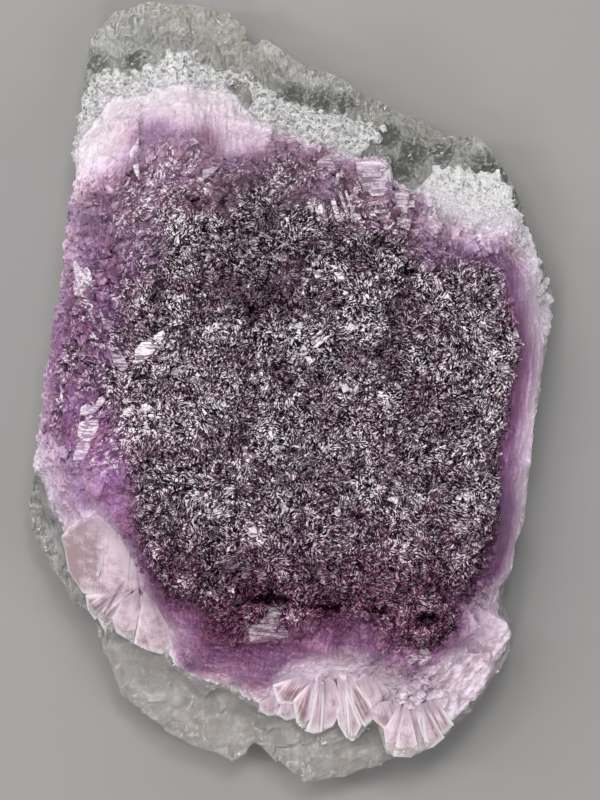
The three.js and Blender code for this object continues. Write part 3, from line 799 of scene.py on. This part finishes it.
def purple_material(name, colours, toned=False, faced=False, sparkle=0.9):
    """Glossy purple crystal that pales towards the crust's edge. Grains are toned, flat faces faced."""
    material, nodes = new_material(name)
    spot = shader_place(nodes)
    x, y, _ = nodes.parts(spot)
    low_end = 1 - y.ramp(-30.0, -13.0)
    smooth = attribute_of(nodes, "smooth")
    # Painted glints, and painted shade in the hollows
    silver = attribute_of(nodes, "silver")
    light = attribute_of(nodes, "light")
    cloud = nodes.noise(spot, 0.16, 3.0)
    fray = nodes.noise(spot, 0.9, 3.0)
    upright = nodes.drawn_noise(spot, (3.2, 0.34, 0.7), 4.0)

    # The colour by shade, greyer at the upper end and redder at the lower one
    shade = attribute_of(nodes, "shade") + (cloud - 0.5) * 1.2 + (fray - 0.5) * (1.0 - smooth * 0.6)
    shade = shade + (upright - 0.5) * smooth * 1.3
    deep = shade.ramp(1.7, 3.0)
    greyer = y.ramp(10.0, 24.0) * shade.ramp(1.0, 2.0) * (1 - shade.ramp(2.5, 3.0)) * 0.6
    colour = nodes.mixed(greyer, shade_ramp(nodes, shade, colours), (0.20, 0.125, 0.165, 1))
    tinge = nodes.noise(spot, 0.25, 3.0).ramp(0.36, 0.64)
    tinge = nodes.mixed(tinge, (1.02, 0.97, 0.96, 1), (0.93, 0.96, 1.06, 1))
    colour = nodes.mixed(0.22 + shade.ramp(0.4, 2.0) * 0.78, colour, tinge, "MULTIPLY")
    colour = nodes.mixed(low_end * deep * 0.7, colour, (0.080, 0.012, 0.048, 1))

    # Streaks between light and dark, with shade painted in dark patches and in the hollows
    streaks = cell_streaks(nodes, spot, 1.5, 6.2)
    coarse = cell_streaks(nodes, spot, 4.0, 2.6)
    fine = 0.30 + deep * 0.42
    lines = streaks * fine + coarse * (1 - fine)
    patches = nodes.noise(spot, 0.22, 3.0).ramp(0.38, 0.64)
    calm = nodes.noise(spot, 0.34, 2.0).ramp(0.50, 0.60) * (1 - deep) * 0.7
    rough = (1 - smooth) * (1 - calm)
    glint = lines.ramp(0.49, 0.60) * (0.66 + patches * 0.36 + silver * 0.9 + light * 0.6).at_least(0)
    # Painted shade: dark patches of noise, darkest in the hollows
    hollows = 0.26 + nodes.noise(spot, 0.55, 2.0).ramp(0.34, 0.46) * 0.70 + silver.at_most(0) * 0.6
    value = (lines.ramp(0.36, 0.60) * 1.55 + 0.06) * hollows.at_least(0.05)
    if faced:
        veins = coarse.thin_line(14)
        ledges = nodes.drawn_noise(spot, (0.40, 3.4, 3.4), 3.0).ramp(0.44, 0.54)
        value = 0.22 + streaks * 0.4 + ledges * 0.75 - veins * 0.45
    elif toned:
        tone = attribute_of(nodes, "tone")
        # Painted glints on a few of the grains
        glint = glint + (tone > 0.88) * (0.15 + patches * 0.4 + silver * 0.6).at_least(0)
        value = value * (0.30 + tone * 1.2)
    else:
        # Painted highlight on the ridges and painted shade in the recesses
        ridge = attribute_of(nodes, "ridge")
        glint = glint + ridge.ramp(0.05, 0.45) * 0.30
        value = value * (0.45 + ridge.ramp(-0.35, 0.0) * 0.55)
    keep = 0.45 + deep * 0.55
    calm_value = (0.56 + upright * 0.65 + (lines - 0.37) * 0.8) * smooth + (1 - smooth) * calm * 0.85
    value = (value * keep + (1 - keep)) * rough + calm_value
    colour = nodes.mixed(1.0, colour, nodes.grey(value * (1 + light)), "MULTIPLY")
    colour = nodes.mixed(low_end * shade.ramp(0.8, 2.0), colour, (1.06, 0.97, 0.99, 1), "MULTIPLY")
    sides = x.size().ramp(14.0, 26.0) * (1 - y.ramp(20.0, 30.0))
    colour = nodes.mixed(sides, colour, (1.02, 0.95, 1.04, 1), "MULTIPLY")

    # Milky places of the crust
    relief = lines * rough
    if not (faced or toned):
        clearing = attribute_of(nodes, "clearing").ramp(-0.8, 1.6)
        diagonal = nodes.drawn_noise(nodes.turned(spot, 0.7), (1.6, 0.35, 0.8), 4.0)
        milkiness = (diagonal * 0.7 + fray * 0.5 - 0.1).ramp(0.40, 0.62)
        milky = nodes.mixed(milkiness, (0.44, 0.31, 0.37, 1), (0.84, 0.72, 0.82, 1))
        colour = nodes.mixed(clearing * (0.40 + cloud * 0.7).at_most(1), colour, milky)
        relief = relief * (1 - clearing * 0.65)

    # Silvery glints, painted into the colour as highlights, with a half-lit tone where they are faint
    pale = nodes.mixed(shade.ramp(1.4, 2.9), tuple(colours.milk), tuple(colours.painted_glint))
    if faced:
        # On a flat face the painted sheen follows its paleness and its growth steps
        glint = attribute_of(nodes, "pale") * (0.15 + streaks * 0.3 + ledges * 0.95) * (1 - veins * 0.6)
        colour = nodes.mixed(glint.at_most(1), colour, pale)
    else:
        reach = 0.38 + shade.ramp(1.2, 2.9) * 0.55
        glint = (glint * rough * reach * (1 - low_end * 0.25)).at_most(0.96)
        half_lit = nodes.mixed(shade.ramp(0.8, 2.6), tuple(colours.lilac), tuple(colours.painted_half_light))
        colour = nodes.mixed(glint, colour, nodes.mixed(glint.ramp(0.30, 0.80), half_lit, pale))
        colour = nodes.mixed(low_end * shade.ramp(2.1, 3.0), colour, (1.02, 0.80, 0.95, 1), "MULTIPLY")

    # Facets that each shine their own way
    cell = nodes.cells(nodes.bent(spot, 1.6, 0.5), 1.6)
    tilted = tilted_normal(nodes, cell, sparkle * (1 - smooth * 0.93) * (1 - calm))
    roughness = 0.10 + streaks * 0.16 + smooth * 0.14
    relief = relief + upright * smooth * 0.6
    finish_material(nodes, colour, roughness, PURPLE_INDEX, relief, depth=0.22, strength=0.55, tilted=tilted)
    return material


def glass_material(name, colours):
    """Clear fluorite, frosted by fine fibres and veils, with faint stains, and clear windows painted dark as
    shade.
    """
    material, nodes = new_material(name)
    spot = shader_place(nodes)
    fibres = nodes.drawn_noise(spot, (3.4, 0.8, 1.8), 5.0)
    veil = nodes.noise(spot, 0.35, 5.0).ramp(0.40, 0.66)
    crumbs = nodes.noise(spot, 2.6, 3.0)
    flat_spot = nodes.vector("MULTIPLY", spot, (1, 1, 0))

    def near(x, y, radius):
        """1 near a place of the tables, 0 past a ragged radius."""
        away = nodes.vector("DISTANCE", flat_spot, (x, y, 0), "Value")
        return 1 - (away + (crumbs - 0.5) * 4).ramp(radius * 0.6, radius)

    lip = nodes.parts(spot)[1].ramp(-36.0, -26.0)
    colour = nodes.mixed(fibres.ramp(0.34, 0.66), (0.38, 0.375, 0.36, 1), (1.0, 0.98, 0.95, 1))
    colour = nodes.mixed((1 - lip) * 0.75, colour, tuple(colours.lip))
    colour = nodes.mixed(veil * 0.35, colour, tuple(colours.glass))
    for row in STAINS:
        colour = nodes.mixed(near(*row) * 0.25, colour, tuple(colours.stain))
    # Painted shade in the clear windows
    window = near(*WINDOWS[0])
    for row in WINDOWS[1:]:
        window = window.at_least(near(*row))
    colour = nodes.mixed(window * 0.85, colour, tuple(colours.window))
    frost = nodes.noise(spot, 4.5, 3.0).ramp(0.56, 0.64) * veil * (1 - window)
    colour = nodes.mixed(frost * 0.7, colour, (1.0, 1.0, 1.0, 1))
    # Ridges painted whiter: frosted edges, and a painted highlight along them
    ridge = attribute_of(nodes, "ridge").ramp(0.04, 0.22)
    colour = nodes.mixed(ridge * (0.5 + crumbs * 0.7).at_most(1), colour, (1.0, 0.99, 0.98, 1))
    relief = (fibres * (0.3 + lip * 0.7) + crumbs * 0.4) * (1 - window * 0.7)
    inside = nodes.add("ShaderNodeVolumeAbsorption", None, {"Color": (0.66, 0.66, 0.62, 1), "Density": 6.0})
    finish_material(nodes, colour, 0.05 + veil * 0.16, CLEAR_INDEX, relief, depth=0.25, strength=0.5,
                    clear=0.76, inside=inside)
    return material


def foot_material(name, colours):
    """Clear crystals with pearly planes, a highlight painted along their edges, white rays, and lilac towards
    their roots.
    """
    material, nodes = new_material(name)
    spot = shader_place(nodes)
    across = attribute_of(nodes, "across")
    along = attribute_of(nodes, "along")
    milky = attribute_of(nodes, "milky")

    def lengthwise(fineness, length, detail):
        """Noise drawn out along each crystal."""
        drawn = nodes.add("ShaderNodeCombineXYZ", None, {0: across * fineness, 1: along * length})
        return nodes.noise(drawn, 1.0, detail)

    planes = lengthwise(0.75, 0.05, 1.0).ramp(0.48, 0.53)
    rays = lengthwise(2.4, 0.26, 3.0)
    broad = lengthwise(0.45, 0.16, 2.0)
    mottle = nodes.noise(spot, 0.7, 4.0)
    fuzz = nodes.noise(spot, 3.4, 3.0)
    white = (1.0, 0.97, 1.0, 1)
    pearl = (1.0, 0.80, 0.90, 1)
    clear = nodes.mixed(milky, (0.37, 0.23, 0.25, 1), (0.48, 0.34, 0.37, 1))
    rim = attribute_of(nodes, "rim")
    ragged_rim = rim + (mottle - 0.5) * 0.5
    core = ragged_rim.ramp(0.15, 0.60) * (0.95 - planes * 0.40 - rays.ramp(0.47, 0.57) * 0.40)
    share = 1 - core + (mottle - 0.5) * 0.8
    x, y, _ = nodes.parts(spot)
    bright_side = x.ramp(-26.5, -21.5) - (1 - y.ramp(-33.0, -27.0)) * (1 - x.ramp(-16.0, -12.0)) * 0.6
    haze = 0.08 + bright_side * 0.90 + (broad - 0.5) * 1.8 + (mottle - 0.5) * 2.2 + (fuzz - 0.5) * 1.2
    share = share + (haze - share) * milky
    colour = nodes.mixed(share.at_least(0).at_most(1), clear, pearl)
    tip = 1 - attribute_of(nodes, "end").ramp(0.2, 1.1)
    colour = nodes.mixed(tip * 0.7, colour, white)
    # Painted highlight along the crystal's edges
    edge = (1 - rim.ramp(0.08, 0.36)) * along.ramp(0.6, 2.4)
    colour = nodes.mixed(edge * (0.55 + rays.ramp(0.40, 0.55) * 0.45) * (1 - milky * 0.3), colour, white)
    root = (1 - along.ramp(0.4, 2.6 + milky * 2.0)) * (0.9 - milky * 0.3)
    colour = nodes.mixed((root + attribute_of(nodes, "shade").ramp(0.8, 2.2) * 0.5).at_most(0.92), colour,
                         tuple(colours.lilac))
    relief = rays + planes * 0.6 + mottle * 0.5
    finish_material(nodes, colour, 0.04 + mottle * 0.14, CLEAR_INDEX, relief, depth=0.3, strength=0.6,
                    clear=0.18)
    return material


def sugar_material(name, colours):
    """White sugary crust with grey pits."""
    material, nodes = new_material(name)
    spot = shader_place(nodes)
    grit = nodes.noise(spot, 2.2, 3.0)
    worms = nodes.noise(spot, 1.1, 3.0).thin_line(12)
    pits = nodes.noise(spot, 0.8, 4.0).ramp(0.53, 0.62)
    right = nodes.parts(spot)[0].ramp(14.0, 20.0)
    curls = nodes.noise(spot, 2.4, 2.0).thin_line(14 - right * 5)
    dull = nodes.grey(0.15 + right * 0.12)
    bright = nodes.grey(0.46 + right * 0.44)
    colour = nodes.mixed(grit.ramp(0.38, 0.58), dull, bright)
    colour = nodes.mixed(pits * 0.75, colour, nodes.grey(0.12 + right * 0.06))
    colour = nodes.mixed((worms * 0.8 + curls * 0.8).at_most(0.97), colour, (1.0, 0.985, 0.97, 1))
    tint = attribute_of(nodes, "depth").ramp(-2.0 - right * 2.6, 0.0) * (0.25 + right * 0.40)
    colour = nodes.mixed(tint, colour, (0.83, 0.72, 0.84, 1))
    relief = grit * 0.5 + worms * 0.5 + curls * 0.6
    finish_material(nodes, colour, 0.22 + grit * 0.3, 1.5, relief, depth=0.3, strength=0.8, clear=0.06)
    return material


class FLUORITE_OT_stage(bpy.types.Operator):
    """Makes the floor, the soft lights and the camera over the specimen"""

    bl_idname = "fluorite.stage"
    bl_label = "Stage"

    def execute(self, context):
        view = context.scene.fluorite_view
        gap = 0.05 * MM  # keeps the floor clear of the specimen's flat foot
        bpy.ops.object.select_all(action="DESELECT")
        bpy.ops.mesh.primitive_plane_add(size=4.0, location=(0, 0, -gap))
        floor = context.active_object
        floor.name = "floor"
        material, nodes = new_material("pale_floor")
        mottle = nodes.noise(nodes.add("ShaderNodeTexCoord", None, None, "Object"), 30.0)
        colour = nodes.mixed(mottle * 0.06, tuple(context.scene.fluorite_colours.floor), (0.5, 0.5, 0.5, 1))
        nodes.add("ShaderNodeOutputMaterial", None, {0: nodes.add("ShaderNodeBsdfPrincipled", None, {
            "Base Color": colour, "Roughness": 0.85})})
        floor.data.materials.append(material)

        aim = place(*CAMERA_AIM)
        distance = view.camera_height - aim.z
        bpy.ops.object.camera_add(location=(aim.x, aim.y, view.camera_height), rotation=(0, 0, 0))
        camera = context.active_object
        camera.data.sensor_width = 36.0
        camera.data.lens = camera.data.sensor_width * distance / view.frame_height
        camera.data.clip_start = 0.05
        context.scene.camera = camera

        # Softboxes: name, place, width, length and radiance
        softboxes = [
            ("overhead", (-0.30, 0.30, 0.95), 0.55, 0.45, 6.2),
            ("window", (0.10, 0.42, 0.80), 0.20, 0.20, 20.0),
            ("left_strip", (-0.75, 0.10, 0.55), 0.09, 0.60, 14.0),
            ("right_strip", (0.62, -0.20, 0.60), 0.08, 0.50, 14.0),
            ("low_back", (-0.25, 0.85, 0.40), 0.60, 0.10, 12.0),
            ("front", (-0.20, -0.60, 0.70), 0.18, 0.18, 18.0),
        ]
        for name, spot, width, length, radiance in softboxes:
            bpy.ops.object.light_add(type="AREA", location=spot)
            light = context.active_object
            light.name = name
            light.data.shape = "RECTANGLE"
            light.data.size = width
            light.data.size_y = length
            light.data.energy = radiance * math.pi * width * length
            light.rotation_euler = (Vector(spot) - aim).to_track_quat("Z", "Y").to_euler()

        world = bpy.data.worlds.new("studio")
        context.scene.world = world
        world.use_nodes = True
        surround = Nodes(world.node_tree)
        surround.add("ShaderNodeOutputWorld", None, {0: surround.add("ShaderNodeBackground", None, {
            "Color": (0.96, 0.98, 1.0, 1), "Strength": 0.22})})
        context.scene.view_settings.view_transform = "Standard"
        return {"FINISHED"}


class FLUORITE_OT_clear_layer(bpy.types.Operator):
    """Makes the clear lower layer, which reaches past the purple all round"""

    bl_idname = "fluorite.clear_layer"
    bl_label = "Clear layer"

    def execute(self, context):
        piece = copy_of_solid("clear_layer")
        all_round = [(-60, -80), (60, -80), (60, 80), (-60, 80)]  # wider than the specimen
        cut_by(piece, prism("lower_part", all_round, -5 * MM, CLEAR_TOP * MM), "INTERSECT")
        seat = prism("seat", PURPLE_OUTLINE, SEAT_FLOOR * MM, OVER_FOOT * MM, inset=0.4)
        cut_by(piece, seat, "DIFFERENCE")
        apply_modifier(piece, "REMESH", mode="VOXEL", voxel_size=context.scene.fluorite_sizes.clear_detail)

        def breaks(nodes, spot):
            _, y, z = nodes.parts(spot)
            coarse = facet_height(nodes, spot, 2.8, seed=3.1) * 0.7
            fine = facet_height(nodes, spot, 1.0, seed=5.3) * (0.12 + y.ramp(-30, -15) * 0.18)
            return (coarse + fine) * z.ramp(0.3, 1.5) * MM

        displaced(piece, "broken_surface", breaks)
        write_inside(piece, "sugar", SUGAR_PATCHES)
        write_ridge(piece)
        finish_piece(piece, glass_material("clear_fluorite", context.scene.fluorite_colours))
        return {"FINISHED"}


class FLUORITE_OT_purple_crust(bpy.types.Operator):
    """Makes the purple layer's faceted surface"""

    bl_idname = "fluorite.purple_crust"
    bl_label = "Purple crust"

    def execute(self, context):
        sizes = context.scene.fluorite_sizes
        piece = copy_of_solid("purple_crust")
        cut_by(piece, prism("keep", PURPLE_OUTLINE, sizes.cut_height, OVER_CRUST * MM), "INTERSECT")
        apply_modifier(piece, "REMESH", mode="VOXEL", voxel_size=sizes.crust_detail)
        apply_modifier(piece, "SMOOTH", factor=0.5, iterations=4)
        self.simplify_foot(piece, sizes.cut_height)
        size = sizes.facet / MM
        write_shade(piece)

        def facets(nodes, spot):
            smooth = named_value(nodes, "smooth")
            small = facet_height(nodes, spot, size, seed=1.7) * 0.75
            large = facet_height(nodes, spot, size * 2.1, seed=4.9)
            silky = nodes.drawn_noise(spot, (1.5, 0.22, 0.4), 3.0) - 0.5
            drawn = nodes.vector("MULTIPLY", spot, (1, 0.35, 0.6))
            blocky = facet_height(nodes, drawn, size * 2.6, seed=8.3) * 0.5
            height = (small + large) * (1 - smooth * 0.92) + (silky * 0.9 + blocky) * smooth
            return height * nodes.parts(spot)[2].ramp(6.2, 8.0) * (2 * sizes.facet_relief)

        displaced(piece, "facets", facets)
        self.fit_to_crystals(piece)
        write_painted_glint_and_shade(piece)
        write_ridge(piece)
        write_inside(piece, "bare", [outline for _, outline in FACES])
        write_inside(piece, "clearing", CLEARINGS)
        finish_piece(piece, purple_material("purple_fluorite", context.scene.fluorite_colours))
        return {"FINISHED"}

    @staticmethod
    def fit_to_crystals(piece):
        """Takes the crust down in its hollows and under the clear crystals of the fringe, and banks it down
        to their edges."""
        sink = 0.35  # how far the crust stays under a crystal's top
        reach = 1.2  # how far past a crystal's edge the crust is banked
        bank = 1.6  # slope of that bank
        plateau = 12  # height over which the crust has hollows
        depth = 1.3  # of a hollow
        points = points_of(piece)
        points[:, 2] -= np.where(points[:, 2] > plateau, depth * step(in_hollows(points), 0.2, 0.9), 0)
        for root_height, tip_height, tilt, _, outline in FRINGE:
            _, level, slopes = lie_of_crystal(root_height, tip_height, tilt, outline)
            inside = depth_inside(outline, points)
            lift = np.where(inside > 0, -sink * np.minimum(inside / sink, 1), -inside * bank)
            top = (level + lift + points[:, :2] @ np.array(slopes)).clip(HIDDEN_FOOT)
            points[:, 2] = np.where(inside > -reach, np.minimum(points[:, 2], top), points[:, 2])
        piece.data.vertices.foreach_set("co", ((points + (ZERO_X, ZERO_Y, 0)) * MM).ravel())
        piece.data.update()

    @staticmethod
    def simplify_foot(piece, height):
        """Puts one face in place of the flat foot, which lies hidden in the clear layer."""
        for polygon in piece.data.polygons:
            polygon.select = polygon.normal.z < -0.9 and polygon.center.z < height + 0.3 * MM
        activate(piece)
        with edit_mode(select_all=False):
            bpy.ops.mesh.select_mode(type="FACE")
            bpy.ops.mesh.delete(type="FACE")
            bpy.ops.mesh.select_all(action="SELECT")
            bpy.ops.mesh.fill_holes(sides=0)
            bpy.ops.mesh.select_all(action="SELECT")
            bpy.ops.mesh.normals_make_consistent(inside=False)


class FLUORITE_OT_flat_blocks(bpy.types.Operator):
    """Makes the flat-faced blocks that stand out of the crust"""

    bl_idname = "fluorite.flat_blocks"
    bl_label = "Flat blocks"

    def execute(self, context):
        colours = context.scene.fluorite_colours
        bevel = context.scene.fluorite_sizes.bevel
        blocks = joined([self.block(*row, bevel) for row in BLOCKS], "flat_blocks")
        write_shade(blocks, paler=0.1)
        finish_piece(blocks, purple_material("flat_blocks", colours, faced=True, sparkle=0.10))
        return {"FINISHED"}

    @staticmethod
    def block(x, y, rise, pale, width, length, tilt_x, tilt_y, tilt_z, bevel):
        """A block with growth steps on its faces and worn edges, sunk into the crust."""
        height = max(width, length)
        top = crust_height(x, y) + rise
        bpy.ops.mesh.primitive_cube_add(size=1.0, location=place(x, y, top - height / 2))
        piece = bpy.context.active_object
        piece.scale = (width * MM, length * MM, height * MM)
        piece.rotation_mode = "ZXY"
        piece.rotation_euler = [math.radians(angle) for angle in (tilt_x, tilt_y, tilt_z)]
        bpy.ops.object.transform_apply(location=True, rotation=True, scale=True)
        step_height = 0.12
        with edit_mode():
            for inset in (0.35, 0.6):
                bpy.ops.mesh.inset(use_individual=True, thickness=inset * MM, depth=step_height * MM)
        apply_modifier(piece, "BEVEL", width=bevel, segments=1, limit_method="ANGLE")
        write_value(piece, "pale", np.full(len(piece.data.vertices), pale))
        return piece


class FLUORITE_OT_flat_faces(bpy.types.Operator):
    """Makes the flat faces that shine among the rough crystals"""

    bl_idname = "fluorite.flat_faces"
    bl_label = "Flat faces"

    raised = 0.30  # how far a face stands over the crust round it
    thickness = 1.6
    step_height = 0.10  # of the growth step along a face's edge
    step_share = 0.09  # the step's width as a share of the face's
    steepest = 1.0  # slope of a face at most

    def execute(self, context):
        colours = context.scene.fluorite_colours
        bevel = context.scene.fluorite_sizes.bevel
        faces = joined([self.face(pale, outline, bevel) for pale, outline in FACES], "flat_faces")
        write_shade(faces, paler=0.3)
        finish_piece(faces, purple_material("flat_faces", colours, faced=True, sparkle=0.22))
        return {"FINISHED"}

    def face(self, pale, outline, bevel):
        """A thin crystal over an outline, laid along the crust under it."""
        level, slope_x, slope_y = self.lie_of_crust(outline)
        piece = prism("face", outline, -self.thickness * MM, 0)
        for vertex, point in zip(piece.data.vertices, points_of(piece)):
            vertex.co.z += (level + slope_x * point[0] + slope_y * point[1] + self.raised) * MM
        select_upper(piece)
        width = math.sqrt(max(polygon.area for polygon in piece.data.polygons))
        with edit_mode(select_all=False):
            bpy.ops.mesh.inset(thickness=width * self.step_share, depth=self.step_height * MM)
        apply_modifier(piece, "BEVEL", width=bevel * 0.6, segments=1, limit_method="ANGLE")
        write_value(piece, "pale", np.full(len(piece.data.vertices), pale))
        return piece

    def lie_of_crust(self, outline):
        """The plane through the crust under an outline: its height at the zero point and its two slopes."""
        corners = [Vector(point) for point in outline]
        middle = sum(corners, Vector((0, 0))) / len(corners)
        spots = [middle.lerp(corner, share) for corner in corners for share in (0.0, 0.5, 1.0)]
        rows = [(1, spot.x, spot.y, crust_height(spot.x, spot.y)) for spot in spots]
        rows = np.array([row for row in rows if row[3] is not None])
        slopes = np.linalg.lstsq(rows[:, :3], rows[:, 3], rcond=None)[0][1:]
        slopes *= min(1, self.steepest / np.hypot(*slopes))
        level = np.mean(rows[:, 3] - rows[:, 1:3] @ slopes)
        return level, *slopes


class FLUORITE_OT_foot_crystals(bpy.types.Operator):
    """Makes the clear crystals that radiate from the foot of the purple"""

    bl_idname = "fluorite.foot_crystals"
    bl_label = "Foot crystals"

    inset = 0.35  # of the bevelled rim of a crystal's top
    inset_share = 0.7  # its limit on a narrow top, as a share of the top's area over its edge
    rim_slope = 0.4  # how far the top rises for the rim's width
    ridge_height = 0.50  # of the ridge on a clear crystal
    milky_fall = 0.35  # how much lower the ridge is on a milky one

    def execute(self, context):
        bevel = context.scene.fluorite_sizes.bevel
        crystals = joined([self.crystal(*row, bevel) for row in FRINGE], "foot_crystals")
        write_shade(crystals)
        finish_piece(crystals, foot_material("foot_crystals", context.scene.fluorite_colours))
        return {"FINISHED"}

    def crystal(self, root_height, tip_height, tilt, milky, outline, bevel):
        """A crystal whose flat top falls from its root to its tip, with a raised ridge on it."""
        piece = prism("crystal", outline, HIDDEN_FOOT * MM, OVER_FOOT * MM)
        down, level, slopes = lie_of_crystal(root_height, tip_height, tilt, outline)
        for vertex, point in zip(piece.data.vertices, points_of(piece)):
            if point[2] > HIDDEN_FOOT + 1:
                vertex.co.z = (level + slopes.x * point[0] + slopes.y * point[1]) * MM
        select_upper(piece)
        top = max(piece.data.polygons, key=lambda polygon: polygon.area * polygon.select)
        corners = [piece.data.vertices[index].co for index in top.vertices]
        around = sum((corner - corners[number - 1]).length for number, corner in enumerate(corners))
        inset = min(self.inset * MM, self.inset_share * top.area / around)
        with edit_mode(select_all=False):
            bpy.ops.mesh.inset(thickness=inset, depth=self.rim_slope * inset)
            bpy.ops.mesh.poke(offset=(self.ridge_height - milky * self.milky_fall) * MM)
        soft = milky > 0.95  # the milkiest crystal has rounded edges
        apply_modifier(piece, "BEVEL", width=bevel * (6 if soft else 0.8), segments=3 if soft else 1,
                       limit_method="ANGLE")
        offsets = points_of(piece)[:, :2] - np.array(outline[0])
        along = offsets @ np.array(down)
        write_value(piece, "along", along)
        write_value(piece, "end", along.max() - along)
        write_value(piece, "across", offsets @ np.array((down.y, -down.x)) + outline[0][0] * 3)
        write_value(piece, "milky", np.full(len(offsets), milky))
        write_inside(piece, "rim", [outline])
        return piece


class FLUORITE_OT_sugar_band(bpy.types.Operator):
    """Spreads white sugar over the clear layer next to the purple"""

    bl_idname = "fluorite.sugar_band"
    bl_label = "Sugar band"

    def execute(self, context):
        sizes = context.scene.fluorite_sizes

        def patches(nodes, spot):
            lace = named_value(nodes, "sugar") + (nodes.noise(spot, 0.95, 4.0) - 0.5) * 4.5
            return lace.ramp(0.0, 0.30) * (1 - nodes.noise(spot, 1.1, 2.0).ramp(0.60, 0.64))

        clear_layer = bpy.data.objects["clear_layer"]
        grains = crystals_on(clear_layer, "sugar_band", sizes.sugar_density, 0.35, 1.05, 71, patches,
                             flat=0.5, cluster=2.4, sink=0.1)
        apply_modifier(grains, "REMESH", mode="VOXEL", voxel_size=sizes.sugar_detail)
        write_inside(grains, "depth", [PURPLE_OUTLINE])
        finish_piece(grains, sugar_material("white_sugar", context.scene.fluorite_colours))
        return {"FINISHED"}


class FLUORITE_OT_sparkling_grains(bpy.types.Operator):
    """Covers the plateau and the slopes with small crystals turned every way"""

    bl_idname = "fluorite.sparkling_grains"
    bl_label = "Sparkling grains"

    def execute(self, context):
        sizes = context.scene.fluorite_sizes
        crust = bpy.data.objects["purple_crust"]
        small = sizes.grain_small / MM
        large = sizes.grain_large / MM

        def covered(nodes):
            """1 where crystals may stand, 0 on the flat faces and in the hollows, which have painted shade.
            """
            bare = named_value(nodes, "bare").ramp(-0.25, -0.20)
            return (1 - bare) * (named_value(nodes, "silver") > -0.45)

        def plateau(nodes, spot):
            rough = 1 - named_value(nodes, "smooth")
            return named_value(nodes, "shade").ramp(2.1, 2.8) * rough * covered(nodes)

        def slopes(nodes, spot):
            shade = named_value(nodes, "shade")
            rough = 1 - named_value(nodes, "smooth").ramp(0.0, 0.4)
            return shade.ramp(0.3, 0.9) * (1 - shade.ramp(2.6, 2.95) * 0.8) * rough * covered(nodes)

        layers = [
            crystals_on(crust, "fine_grains", sizes.grain_density, small, large, 11, plateau,
                        flat=0.3, cluster=2.0, sink=0.15),
            crystals_on(crust, "sparkling_shards", sizes.shard_density, small * 1.2, large * 1.3, 31, plateau,
                        flat=0.35, cluster=3.6, sink=0.30, pointed=True),
            crystals_on(crust, "slope_crystals", sizes.slope_density, 0.4, 1.3, 51, slopes,
                        flat=0.3, cluster=3.0, sink=0.25),
        ]
        grain = purple_material("grains", context.scene.fluorite_colours, toned=True, sparkle=0.45)
        for layer in layers:
            finish_piece(layer, grain)
        return {"FINISHED"}


class FLUORITE_PT_panel(bpy.types.Panel):
    """Lists the operators and the settings"""

    bl_idname = "FLUORITE_PT_panel"
    bl_label = "Bicolor fluorite"
    bl_space_type = "VIEW_3D"
    bl_region_type = "UI"
    bl_category = "Fluorite"

    def draw(self, context):
        for operator in OPERATORS:
            self.layout.operator(operator.bl_idname)
        scene = context.scene
        for group in (scene.fluorite_sizes, scene.fluorite_colours, scene.fluorite_view):
            box = self.layout.box()
            for name in group.bl_rna.properties.keys():
                if name not in ("rna_type", "name"):
                    box.prop(group, name)


OPERATORS = [
    FLUORITE_OT_stage,
    FLUORITE_OT_clear_layer,
    FLUORITE_OT_purple_crust,
    FLUORITE_OT_flat_blocks,
    FLUORITE_OT_flat_faces,
    FLUORITE_OT_foot_crystals,
    FLUORITE_OT_sugar_band,
    FLUORITE_OT_sparkling_grains,
]
CLASSES = [SpecimenSizes, SpecimenColours, SpecimenView, *OPERATORS, FLUORITE_PT_panel]


def register():
    for item in CLASSES:
        bpy.utils.register_class(item)
    bpy.types.Scene.fluorite_sizes = PointerProperty(type=SpecimenSizes)
    bpy.types.Scene.fluorite_colours = PointerProperty(type=SpecimenColours)
    bpy.types.Scene.fluorite_view = PointerProperty(type=SpecimenView)


def unregister():
    del bpy.types.Scene.fluorite_view
    del bpy.types.Scene.fluorite_colours
    del bpy.types.Scene.fluorite_sizes
    for item in reversed(CLASSES):
        bpy.utils.unregister_class(item)


def main():
    register()
    bpy.ops.fluorite.stage()
    bpy.ops.fluorite.clear_layer()
    bpy.ops.fluorite.purple_crust()
    bpy.ops.fluorite.flat_blocks()
    bpy.ops.fluorite.flat_faces()
    bpy.ops.fluorite.foot_crystals()
    bpy.ops.fluorite.sugar_band()
    bpy.ops.fluorite.sparkling_grains()


if __name__ == "__main__":
    main()
